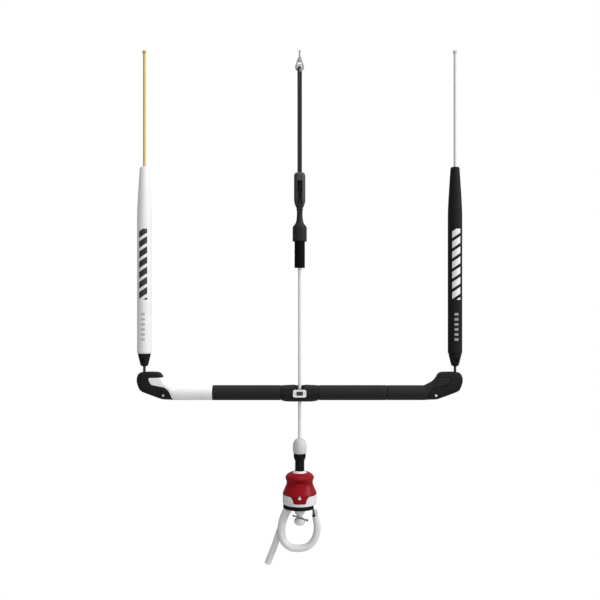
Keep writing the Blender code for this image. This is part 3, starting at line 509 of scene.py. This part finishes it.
# The nodes that are shown as the frame has them, under the material that each one gets
NODE_LOOKS = {
    "steel": "thimble cleat_screw hub_screw_left hub_screw_right end_screw_left "
    "end_screw_right hook_pin finger_pin swivel_shaft swivel_bearing bush_ring",
    "dark_steel": "release_hook bar_tube_left bar_tube_right",
    "pin_steel": "knob_lock_pin",
    "plate": "hub_plate",
    "dark_plastic": "cleat_insert",
    "deep_black": "bumper_tube",
    "white_plastic": "loop_anchor loop_end_fitting release_arrow line_bush loop_pin",
    "black_rope": "leader_stop_knot_left leader_stop_knot_right",
}


def dress_frame():
    """Gives the frame's nodes that stay visible their materials."""
    for look, names in NODE_LOOKS.items():
        for name in names.split():
            for slot in frame["nodes"][name].material_slots:
                slot.material = LOOKS[look]


# Lines and ropes


def leader_line(side, name, look):
    """A leader line from the float's top to the knot it is held taut by."""
    x = side * LINE_X
    points = [(x, 0, z) for z in np.linspace(LEADER_START, LEADER_END, 21)]
    mesh, path = rope_mesh("leader_" + name, points, LEADER_RADIUS, strands=8, depth=0.07)
    body = "float_line_" + name
    rope = new_piece("leader_" + name, mesh, LOOKS[look], body, ["leader_line_" + name])
    reach, pitch = LEADER_RADIUS + 0.2, 1.35
    wraps = [
        (x + reach * math.cos(angle), reach * math.sin(angle), LEADER_END - pitch * turn)
        for angle, turn in winding(3)
    ]
    knot_mesh, _ = rope_mesh("leader_knot_" + name, wraps, 0.75, strands=6, depth=0.14)
    knot = new_piece("leader_knot_" + name, knot_mesh, LOOKS[look], body)


def blended_rope(name, points, radius, node, strands=8, depth=0.1):
    """A black rope that runs from one body to another; it is baked in place and rides on neither."""
    mesh, _ = rope_mesh(name, points, radius, strands, depth)
    piece = new_piece(name, mesh, LOOKS["black_rope"], None, [node])
    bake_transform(piece)


def lower_ropes():
    """The short ropes from the bar's ends up into the floats' caps."""
    for side, name in ((-1, "left"), (1, "right")):
        x = side * LINE_X
        points = [(x, 0, z) for z in (-490.5, -500, -507, -511, -514, -517, -521, -530.0)]
        blended_rope("lower_rope_" + name, points, 2.2, "leader_lower_" + name)


def trim_ropes():
    """The trim rope, from the cleat up through the thimble and back, and its tail to the grip."""
    strand = 1.8
    rise = [(strand, 0, -62), (strand, 1.0, -53), (strand, 2.8, -44), (strand, 4.2, -36)]
    bight = [(1.9, 4.3, -31.5), (1.6, 3.6, -29.3), (1.0, 2.0, -27.9)]
    right = rise + bight
    left = [(-x, -y, z) for x, y, z in right]
    dead_end = [(-strand, 0, z) for z in (-209, -185, -160, -135, -110, -85)]
    jammed = [(strand, 0, z) for z in (-85, -110, -135, -160, -185, -207)]
    led_back = [(1.2, 0.6, -220), (0.3, 3.4, -229), (0, 6.2, -237), (0, TAIL_Y, -243)]
    route = [*dead_end, *left, (0, 0, -27.3), *reversed(right), *jammed, *led_back]
    route.append((0, TAIL_Y, -249.4))
    blended_rope(
        "trim_rope_line", route, 1.92, "trim_rope", strands=6, depth=0.07
    )
    tail = [(0, TAIL_Y, z) for z in (-249.9, -262, -274, -286, -296.4)]
    blended_rope(
        "trim_tail_line", tail, 1.88, "trim_tail", strands=6, depth=0.07
    )


def depower_rope():
    """The coated line that the bar slides on, and the knot that holds it in the cleat."""
    points = [(0, 0, z) for z in np.linspace(-245.5, -691.5, 30)]
    mesh, _ = rope_mesh("depower_rope", points, 2.74, strands=8, depth=0.035, per_strand=2)
    look = LOOKS["coated_rope"]
    new_piece("depower_rope", mesh, look, "centre", ["depower_line"])
    knot = [(0.3, -238.8), (2.4, -239.3), (3.6, -240.4), (4.15, -242.2), (4.15, -243.6)]
    knot += [(3.5, -245.2), (2.9, -246.6), (2.9, -252.0), (0.3, -252.0)]
    mesh = turned_mesh("depower_knot", knot, 40, ring=False)
    new_piece("depower_knot", mesh, LOOKS["black_rope"], "centre")


def centre_eye():
    """The centre line and the served eye at its end, round the thimble."""
    centre_z, reach, strand = -27.2, 6.2, 1.25  # the eye's bend, and the radius of its rope
    angles = np.radians(np.linspace(380, 160, 17))
    bend = [(reach * math.cos(a), 0, centre_z + reach * math.sin(a)) for a in angles]
    points = [(0, 0, -0.3), (0, 0, -5.0), (0, 0, -9.0), (0.5, 0, -11.5), (2.0, 0, -15.0)]
    points += [(3.9, 0, -19.6), *bend, (-3.9, 0, -19.6), (-2.0, 0, -15.0), (-1.2, 0, -12.6)]
    ends = [(0, 1.0), (0.5, 1.5), (10.5, 1.5), (13, strand), (54, strand), (62, 1.0)]
    mesh, _ = rope_mesh("centre_eye", points, 1.4, strands=6, depth=0.12, radii=ends)
    look, slot = LOOKS["grey_rope"], "centre_line_rope"
    new_piece("centre_eye", mesh, look, "kite_line", ["centre_line"])
    # (name, first height, turns, pitch, half width at the first and last turn, half depth)
    servings = [("top", -0.9, 1.6, 0.85, 1.45, 1.45, 1.45)]
    servings += [("throat", -11.6, 9.0, 0.86, 1.7, 4.6, 1.55)]
    thread = 0.5
    for name, top, turns, pitch, first, last, deep in servings:
        wraps = []
        for angle, turn in winding(turns):
            half = first + (last - first) * (turn / turns) ** 0.8
            wraps.append((half * math.cos(angle), deep * math.sin(angle), top - pitch * turn))
        serving, _ = rope_mesh("centre_serving_" + name, wraps, thread, strands=4, depth=0.1)
        new_piece("centre_serving_" + name, serving, look, "kite_line")


# Foam and rubber


def float_bodies():
    """The two foam floats, with the bore at the top that the leader line goes into."""
    outline = [(5.9, FLOAT_TOP), (6.7, -188.1), (7.1, -189.2), (7.35, -192), (8.3, -206)]
    outline += [(9.3, -221), (10.2, -236), (10.95, -250), (11.25, -259), (11.4, -268)]
    outline += [(11.4, -484.3), (11.1, -485.0), (10.6, FLOAT_BOTTOM), (0.4, FLOAT_BOTTOM)]
    bore = [(0.4, -203.2), (2.75, -203.2), (2.75, -188.6), (3.6, FLOAT_TOP)]
    for side, name in ((-1, "left"), (1, "right")):
        ink = BLACK if side < 0 else WHITE
        paint = WHITE if side < 0 else BLACK
        dull = VERY_DULL if side > 0 else {}
        x = side * LINE_X * MM
        look = foam("float_foam_" + name, paint, 0.6, 800, print_colour=ink, centre_x=x, **dull)
        profile = refined([*outline, *bore], 4.0)
        mesh = turned_mesh("float_body_" + name, profile, 56, at=(side * LINE_X, 0, 0))
        body = "float_line_" + name
        piece = new_piece("float_body_" + name, mesh, look, body, ["float_" + name])


def grips():
    """The soft sleeves on the bar, each side of the hub."""
    sides = (("grip_left", -GRIP_FAR, -GRIP_NEAR), ("grip_right", GRIP_NEAR, GRIP_FAR))
    for node, low, high in sides:
        outer = [(BAR_RADIUS, low), (BAR_RADIUS, high), (TUBE_SOCKET, high), (TUBE_SOCKET, low)]
        profile = refined(eased(outer, 0.9), 3.0)
        mesh = turned_mesh(node + "_sleeve", profile, 64, at=(0, 0, BAR_Z), axis="X")
        look = LOOKS["black_grip"]
        piece = new_piece(node + "_sleeve", mesh, look, "bar", [node])


def remeshed(node, voxel, smoothing):
    """A copy of a node's mesh with rounded edges and fine even faces.

    voxel is their size in millimetres, and smoothing how often the edges are relaxed.
    """
    source = frame["nodes"][node]
    mesh = source.data.copy()
    mesh.transform(source.matrix_basis if source.parent is None else Matrix.Identity(4))
    guide = placed(node + "_guide", mesh)
    remesh = guide.modifiers.new("remesh", "REMESH")
    remesh.mode = "VOXEL"
    remesh.voxel_size = voxel * MM
    smooth = guide.modifiers.new("smooth", "SMOOTH")
    smooth.factor = 0.5
    smooth.iterations = smoothing
    graph = bpy.context.evaluated_depsgraph_get()
    found = bpy.data.meshes.new_from_object(guide.evaluated_get(graph))
    bpy.data.objects.remove(guide, do_unlink=True)
    return found


def fillers():
    """The white and the black foam that run from the grips into the bar's ends."""
    sides = (("left", "white_grip", "white_end"), ("right", "black_grip", "black_end"))
    for name, look, slot in sides:
        node = "end_filler_" + name
        mesh = remeshed(node, voxel=0.8, smoothing=5)
        piece = new_piece(node + "_foam", mesh, LOOKS[look], "bar", [node])


def combined(base, others):
    """A mesh cut by or joined with others, given as (mesh, operation) pairs."""
    body = placed("combined", base)
    tools = []
    for mesh, operation in others:
        tool = placed("combined_tool", mesh)
        modifier = body.modifiers.new("combine", "BOOLEAN")
        modifier.operation = operation
        modifier.solver = "EXACT"
        modifier.object = tool
        tools.append(tool)
    bpy.context.view_layer.update()
    graph = bpy.context.evaluated_depsgraph_get()
    found = bpy.data.meshes.new_from_object(body.evaluated_get(graph))
    for extra in (body, *tools):
        bpy.data.objects.remove(extra, do_unlink=True)
    return found


def level_loft(name, rows, power, around=56):
    """A solid through level superellipses given as (height, half width, centre y, half depth)."""
    angle = np.linspace(0, math.tau, around, endpoint=False)
    cos, sin = np.cos(angle), np.sin(angle)
    shape_x = np.sign(cos) * np.abs(cos) ** (2 / power)
    shape_y = np.sign(sin) * np.abs(sin) ** (2 / power)
    grid = [
        np.stack([half_x * shape_x, y + half_y * shape_y, np.full(around, z)], axis=1)
        for z, half_x, y, half_y in rows
    ]
    return grid_mesh(name, grid)


def trim_grip():
    """The ribbed rubber grip that is pulled to trim the kite, with its tongue in the cleat."""
    neck = [(-252.1, 4.0, 7.0), (-252.4, 4.6, 7.6), (-253.2, 5.1, 8.1), (-254.4, 5.3, 8.3)]
    neck += [(-255.6, 5.25, 8.25), (-256.6, 4.9, 7.9), (-257.6, 4.6, 7.7), (-262, 4.6, 7.7)]
    neck += [(-268, 4.9, 7.9), (-272, 5.3, 8.2), (-275, 6.0, 8.6), (-278, 7.3, 9.3)]
    neck += [(-280.2, 9.1, 10.5), (-282.0, 10.6, 11.4), (-284.0, 11.4, 11.8)]
    rows = [*neck, (-286.2, 11.6, 11.9)]
    for z in (-287.6, -290.9, -294.2, -297.5, -300.8, -303.6):  # the grooves between the ribs
        rows += [(z + 0.95, 11.6, 11.9), (z + 0.6, 11.45, 11.75), (z + 0.25, 11.0, 11.3)]
        rows += [(z - 0.25, 11.0, 11.3), (z - 0.6, 11.45, 11.75), (z - 0.95, 11.6, 11.9)]
    rows += [(-305.2, 11.5, 11.8), (-305.9, 11.2, 11.5), (-306.2, 10.6, 10.9)]
    grip = level_loft("trim_grip_rubber", [(z, x, 2.9, y) for z, x, y in rows], 2.2)
    tongue = [(-243.8, 1.2, -5.7, 0.7), (-244.1, 1.6, -5.7, 0.9), (-246.4, 2.2, -5.7, 1.0)]
    tongue += [(-249, 2.9, -5.7, 1.1), (-252, 2.9, -5.7, 1.1), (-254.2, 3.5, -5.2, 1.1)]
    tongue += [(-256.5, 4.1, -4.6, 1.1), (-259, 3.9, -4.2, 1.1), (-261, 3.6, -3.9, 1.0)]
    changes = [(level_loft("tongue", tongue, power=3.0, around=32), "UNION")]
    # The ways through it for the depower line, the trim rope's tail and the tube below
    ways = ((3.2, 0, -320, -240), (2.3, TAIL_Y, -297, -240), (5.8, 0, -320, -300))
    for radius, y, low, high in ways:
        changes.append((rod_mesh("way", radius, low, high, at=(0, y, 0)), "DIFFERENCE"))
    mesh = combined(grip, changes)
    look = LOOKS["black_rubber"]
    new_piece("trim_grip_rubber", mesh, look, "trim_grip", ["trim_handle"])


def stopper():
    """The soft dome that the bar comes down on."""
    dome = [(3.2, -621.9), (4.3, -621.9), (6.6, -622.9), (8.8, -625.2), (10.1, -628.4)]
    dome += [(10.9, -633), (11.1, -637), (10.8, -641), (10.2, -645.0), (3.2, -645.0)]
    mesh = turned_mesh("stopper_rubber", eased(dome, 0.9), 64)
    look = LOOKS["white_rubber"]
    new_piece("stopper_rubber", mesh, look, "quick_release", ["stopper_dome"])


# Release handle

HANDLE_PROFILE = [  # (radius, height)
    (12.1, -675.3),
    (14.3, -675.6),
    (16.7, -676.5),
    (19.1, -678.0),
    (21.3, -679.9),
    (22.6, -681.7),
    (22.9, -683.2),
    (22.6, -684.8),
    (21.7, -687.0),
    (21.1, -689.4),
    (21.0, -692.0),
    (21.6, -694.9),
    (23.0, -698.4),
    (24.7, -702.2),
    (26.5, -706.4),
    (27.1, -708.0),
    (27.1, -709.2),
]
SCOOP_DEPTH = 3.0
SCOOP_Z = -691.0
SCOOP_ABOVE, SCOOP_BELOW = 4.4, 9.0  # how far up and down the finger hollows fade out


def prism(name, outline, low, high):
    """A solid from an outline (x, z), from y = low to y = high."""
    return grid_mesh(name, [[(x, y, z) for x, z in outline] for y in (low, high)])


def handle_tongue(margin=0.0):
    """The outline (x, z) of the tongue at the handle's front and back, grown by a margin."""
    right = [(16.0, -708.0), (15.0, -709.2), (12.9, -710.9), (11.6, -712.8), (10.7, -714.8)]
    right = [(x + margin, z) for x, z in right]
    for angle in np.radians(np.linspace(0, -90, 9)):
        along, down = 6.7 + margin + 3.4 * math.cos(angle), -716.7 - margin
        right.append((along, down + 3.4 * math.sin(angle)))
    return right + [(-x, z) for x, z in reversed(right)]


def tongue_block(name, inner, outer, margin=0.0):
    """The curved block that the handle's two tongues fill."""
    ring = [(outer, -700), (outer, -724), (inner, -724), (inner, -700)]
    outline = prism(name + "_outline", handle_tongue(margin), -40, 40)
    return combined(turned_mesh(name, ring, 120), [(outline, "INTERSECT")])


def block(name, low, high):
    """A plain box between two corners, for cutting."""
    (x0, y0, z0), (x1, y1, z1) = low, high
    return prism(name, [(x0, z0), (x1, z0), (x1, z1), (x0, z1)], y0, y1)


def cross_rod(radius, low, high, at, turn):
    """A rod from low to high along Z, turned and moved to a place."""
    mesh = rod_mesh("cross_rod", radius, low, high, 24)
    mesh.transform(Matrix.Translation(Vector(at) * MM) @ turn)
    return mesh


def release_handle():
    """The red handle: a turned sleeve with finger hollows and a tongue, front and back."""
    path, _ = curve_through([(radius, 0, z) for radius, z in HANDLE_PROFILE], 0.7)
    angle = np.linspace(0, math.tau, 120, endpoint=False)
    fade = np.where(path[:, 2] > SCOOP_Z, SCOOP_ABOVE, SCOOP_BELOW)
    level = SCOOP_DEPTH * np.exp(-(((path[:, 2] - SCOOP_Z) / fade) ** 2))
    reach = path[:, :1] - level[:, None] * np.abs(np.sin(angle))[None] ** 3
    height = np.repeat(path[:, 2:], len(angle), axis=1)
    sleeve = np.stack([reach * np.cos(angle), reach * np.sin(angle), height], axis=-1)
    hollow = [(ON_AXIS, -670), (12.0, -670), (12.0, -677.2), (14.6, -679.6), (15.4, -683)]
    hollow += [(15.4, -703.4), (9.7, -703.4), (9.7, -706.2), (23.2, -706.2)]
    hollow += [(24.3, -709.2), (24.3, -712), (ON_AXIS, -712)]
    tongue = tongue_block("tongue", 24.5, 26.9)
    pocket = prism("pocket", [(-3.5, -712.9), (3.5, -712.9), (0, -706.5)], -30, -26.0)
    changes = [(turned_mesh("hollow", hollow, 120, ring=False), "DIFFERENCE")]
    changes += [(tongue, "UNION"), (pocket, "DIFFERENCE")]
    mesh = combined(grid_mesh("handle_shell", sleeve), changes)
    look = LOOKS["red_plastic"]
    new_piece("handle_shell", mesh, look, "push_handle", ["release_handle"])


LOCK_PIN_SLOPE = math.atan2(8.0, 24.4)  # the pin drops to the right
LOCK_PIN_AT = (0.9, -4.2, -747.6)


def release_pieces():
    """The release's turned pieces: collar, stem, cap, body, base, swivel cup and knob."""
    collar = [(9.6, -645.3), (9.7, -645.9), (9.7, -651.4), (7.9, -656.0), (7.7, -656.4)]
    collar += [(7.7, -650.0), (3.15, -650.0), (3.15, -645.3)]
    stem = [(7.4, -650.3), (7.4, -688.0), (5.0, -688.0), (5.0, -650.3)]
    cap = [(8.4, -672.6), (11.0, -675.2), (11.6, -676.4), (11.6, -679.0)]
    cap += [(7.7, -679.0), (7.7, -672.6)]
    cup = [(8.4, -724.9), (8.4, -738.6), (7.2, -741.8), (5.4, -743.7), (3.5, -743.7)]
    cup += [(3.5, -724.9)]
    knob = [(4.7, -744.3), (4.7, -748.8), (7.4, -749.6), (9.0, -751.8), (9.0, -754.6)]
    knob += [(7.6, -757.8), (5.0, -759.7), (3.5, -760.0), (3.5, -744.3)]
    body = [(9.3, -679.3), (9.3, -709.5), (26.8, -709.5), (27.1, -709.9), (27.1, -724.4)]
    body += [(3.6, -724.4), (3.6, -699.6), (6.4, -699.6), (6.4, -690), (7.7, -690)]
    body += [(7.7, -679.3)]
    base = [(26.9, -724.7), (27.3, -725.2), (27.3, -730.2), (26.7, -730.8)]
    base += [(8.7, -730.8), (8.7, -724.7)]

    def notches():
        """The ways for the loop's hinge and for the hook, through the body and the base."""
        loop_notch = block("loop_notch", (-40, -7.4, -740), (-11.8, 7.4, -723.3))
        hook_notch = block("hook_notch", (14.6, -5.0, -740), (40, 5.0, -716.8))
        return [(loop_notch, "DIFFERENCE"), (hook_notch, "DIFFERENCE")]

    pin_turn = Matrix.Rotation(math.pi / 2 + LOCK_PIN_SLOPE, 4, "Y")
    pin_way = cross_rod(1.6, -16, 16, LOCK_PIN_AT, pin_turn)
    hook_side = block("hook_side", (22.2, -20, -740), (40, 20, -720))
    recess = tongue_block("tongue_recess", 24.0, 28.0, 0.3)
    body_cuts = [*notches(), (recess, "DIFFERENCE")]
    base_cuts = [*notches(), (hook_side, "DIFFERENCE")]
    knob_cuts = [(pin_way, "DIFFERENCE")]
    dark, white = ("dark_plastic", "collar_rubber"), ("white_plastic", "white_plastic")
    pieces = (
        ("collar_rubber", collar, 1.2, (), "dome_collar", dark),
        ("stem_rubber", stem, 0.3, (), "stem_tube", dark),
        ("cap_ring", cap, 0.8, (), "spring_cap", white),
        ("cup_shell", cup, 1.6, (), "swivel_cup", white),
        ("knob_shell", knob, 1.6, knob_cuts, "untwist_knob", white),
        ("body_shell", body, 0.3, body_cuts, "qr_body", white),
        ("base_ring", base, 0.35, base_cuts, "qr_base", dark),
    )
    for name, outline, ease, cuts, node, (look, slot) in pieces:
        mesh = turned_mesh(name, eased(outline, ease), 96)
        if cuts:
            mesh = combined(mesh, cuts)
        rider = "centre" if node == "untwist_knob" else "quick_release"
        new_piece(name, mesh, LOOKS[look], rider, [node])


def return_spring():
    """The spring inside the handle, a coil of fixed length that rides on the release."""
    turns, top, bottom, reach, wire_radius = 4, -680.2, -702.4, 10.6, 0.75
    route = []
    for angle in np.linspace(0, math.tau * turns, turns * 24 + 1):
        height = top + (bottom - top) * angle / (math.tau * turns)
        route.append((reach * math.cos(angle), reach * math.sin(angle), height))
    path = np.array(route)
    mesh = grid_mesh("spring_coil", tube_rows(path, np.full(len(path), wire_radius), around=10))
    node, slot = "handle_spring", "spring_steel"
    coil = new_piece("spring_coil", mesh, LOOKS["steel"], "quick_release", [node])
    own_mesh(coil)


def moulded_shells():
    """The hub, the bar ends, the cleat's housing and the float caps, with rounded edges."""
    shells = (
        ("bar_hub", 0.6, 8, "bar", "black_plastic", "hub_plastic"),
        ("end_shell_left", 0.5, 5, "bar", "black_plastic", "end_plastic"),
        ("end_shell_right", 0.5, 5, "bar", "black_plastic", "end_plastic"),
        ("cleat_housing", 0.45, 4, "centre", "satin_black", "cleat_plastic"),
    )
    for node, voxel, smoothing, body, look, slot in shells:
        mesh = remeshed(node, voxel, smoothing)
        new_piece(node + "_moulding", mesh, LOOKS[look], body, [node])
    cap = [(ON_AXIS, -485.6), (10.4, -485.6), (9.9, -488.4), (6.5, -502.6), (5.4, -505.0)]
    cap += [(3.9, -505.8), (2.6, -505.8), (2.6, -490), (ON_AXIS, -490)]
    for side, name in ((-1, "left"), (1, "right")):
        x = side * LINE_X
        mesh = turned_mesh("cap_" + name, eased(cap, 0.8, False), 64, ring=False, at=(x, 0, 0))
        angles = np.linspace(0, math.tau, 32, endpoint=False)
        window = [(x + 2.7 * math.cos(a), -496.2 + 3.6 * math.sin(a)) for a in angles]
        mesh = combined(mesh, [(prism("window", window, -16, -1.5), "DIFFERENCE")])
        look = LOOKS["black_plastic"]
        body, node = "float_line_" + name, "float_cap_" + name
        new_piece("cap_moulding_" + name, mesh, look, body, [node])


LOOP_ROUTE = [
    (-19.5, 0, -734.5),
    (-24.4, 0, -745.4),
    (-28.0, 0, -756.0),
    (-29.3, 0, -767.0),
    (-28.2, 0, -779.0),
    (-22.6, 0, -789.6),
    (-12.0, 0, -796.4),
    (0.0, 0, -797.2),
    (12.4, 0, -794.4),
    (22.0, 0, -785.4),
    (27.0, 0, -773.0),
    (27.8, 0, -761.0),
    (26.0, 0, -749.8),
]


def loop_tube():
    """The loop from the socket's end round to its end fitting."""
    path, along = curve_through(LOOP_ROUTE, 1.0)
    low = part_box("loop_socket")[0].z / MM
    turn = int(np.argmin(path[:, 2]))
    first = next(i for i in range(turn) if path[i, 2] < low + 1.4)
    path, along = path[first:], along[first:] - along[first]
    span = along[-1]
    radius = 6.2 - 0.7 * np.minimum(1.0, 1.6 * along / span)
    rounding, reach = 0.9, 0.5  # how much its ends are rounded, and over what length
    radius = radius - rounding * np.exp(-along / reach) - rounding * np.exp(-(span - along) / reach)
    mesh = grid_mesh("loop_rubber_tube", tube_rows(path, radius, around=36))
    look = LOOKS["loop_rubber"]
    new_piece("loop_rubber_tube", mesh, look, "loop", ["chicken_loop"])


def socket_rubber():
    """The thick end of the loop, on its hinge."""
    mesh = remeshed("loop_socket", voxel=0.5, smoothing=6)
    new_piece("socket_rubber", mesh, LOOKS["loop_rubber"], "loop", ["loop_socket"])


def finger_rubber():
    """The finger: a blunt rod with a flat on the side of its pin."""
    x, z = FINGER_PIVOT
    route = [(x, z + 3.2), (x, z), (-34.6, -779), (-40.6, -797), (-46.4, -811.5), (-52.3, -826.3)]
    path, along = curve_through([(a, FINGER_Y, b) for a, b in route], 0.8)
    to_end = np.minimum(along / 1.6, (along[-1] - along) / 2.2)
    radius = 3.2 + 2.0 * np.sqrt(1 - (1 - np.minimum(1, to_end)) ** 2)
    rod = grid_mesh("finger_rod", tube_rows(path, radius, around=40))
    flat = prism("flat", [(x - 9, z - 7), (x + 9, z - 7), (x + 9, z + 9), (x - 9, z + 9)], 0, 9.3)
    hole = cross_rod(1.8, -8, 8, (x, FINGER_Y, z), Matrix.Rotation(math.pi / 2, 4, "X"))
    mesh = combined(rod, [(flat, "DIFFERENCE"), (hole, "DIFFERENCE")])
    look = LOOKS["loop_rubber"]
    new_piece("finger_rubber", mesh, look, "finger", ["loop_finger"])


# Studio

SKY_UP = (0.35, 0.0, 0.94)  # the side that the soft light comes from
SKY_LOW, SKY_HIGH = 0.04, 0.78
LAMPS = (  # (name, place, size, power)
    ("key", (1.9, -0.7, 0.5), 1.2, 30.0),
    ("front", (0.2, -2.2, -0.3), 1.6, 12.5),
    ("top", (0.3, -0.1, 1.6), 1.8, 21.0),
)
LIT_POINT = Vector((0, 0, -0.45))
FLOOR_RADIUS, FLOOR_Z = 0.9, -1.5
CAMERA_PLACE = (0.0005, -1.2, -0.4)


def soft_sky():
    """A white background that lights the object less from below and from its left."""
    world = bpy.data.worlds.new("studio")
    bpy.context.scene.world = world
    world.use_nodes = True
    tree = world.node_tree
    background = tree.nodes["Background"]
    background.inputs["Color"].default_value = (1, 1, 1, 1)
    path = tree.nodes.new("ShaderNodeLightPath")
    sky = tree.nodes.new("ShaderNodeTexCoord")
    toward = tree.nodes.new("ShaderNodeVectorMath")
    toward.operation = "DOT_PRODUCT"
    toward.inputs[1].default_value = SKY_UP
    fill = tree.nodes.new("ShaderNodeMapRange")
    fill.inputs["From Min"].default_value = -1.0
    fill.inputs["To Min"].default_value = SKY_LOW
    fill.inputs["To Max"].default_value = SKY_HIGH
    strength = tree.nodes.new("ShaderNodeMix")
    strength.inputs["B"].default_value = 1.0
    tree.links.new(sky.outputs["Generated"], toward.inputs[0])
    tree.links.new(toward.outputs["Value"], fill.inputs["Value"])
    tree.links.new(path.outputs["Is Camera Ray"], strength.inputs["Factor"])
    tree.links.new(fill.outputs["Result"], strength.inputs["A"])
    tree.links.new(strength.outputs["Result"], background.inputs["Strength"])


def lamps():
    """Three soft lamps that all point at the object."""
    for name, spot, size, power in LAMPS:
        lamp = bpy.data.lights.new(name, "AREA")
        lamp.shape = "DISK"
        lamp.size = size
        lamp.energy = power
        obj = placed(name, lamp)
        obj.location = spot
        obj.rotation_euler = (LIT_POINT - Vector(spot)).to_track_quat("-Z", "Y").to_euler()


def pale_floor():
    """A plain pale disc well under the object."""
    bm = bmesh.new()
    bmesh.ops.create_circle(bm, cap_ends=True, segments=96, radius=FLOOR_RADIUS)
    mesh = bpy.data.meshes.new("floor")
    bm.to_mesh(mesh)
    bm.free()
    floor = placed("floor", mesh)
    floor.location = (0, 0, FLOOR_Z)
    n = Nodes("pale_floor")
    tone = n.mix(n.noise(3, 2), (0.76, 0.76, 0.76), (0.79, 0.79, 0.79))
    mesh.materials.append(n.finish(tone, 0.8))


def front_camera():
    """The view straight at the bar, from the height of the floats."""
    camera = bpy.data.cameras.new("camera")
    camera.lens = 45
    camera.sensor_width = 36
    obj = placed("camera", camera)
    obj.location = CAMERA_PLACE
    obj.rotation_euler = (math.pi / 2, 0, 0)
    bpy.context.scene.camera = obj
    bpy.context.scene.view_settings.view_transform = "Standard"


soft_sky()
lamps()
pale_floor()
front_camera()
dress_frame()
leader_line(-1, "left", "yellow_rope")
leader_line(1, "right", "white_rope")
centre_eye()
trim_ropes()
depower_rope()
lower_ropes()
float_bodies()
grips()
fillers()
trim_grip()
stopper()
release_handle()
release_pieces()
return_spring()
moulded_shells()
loop_tube()
socket_rubber()
finger_rubber()
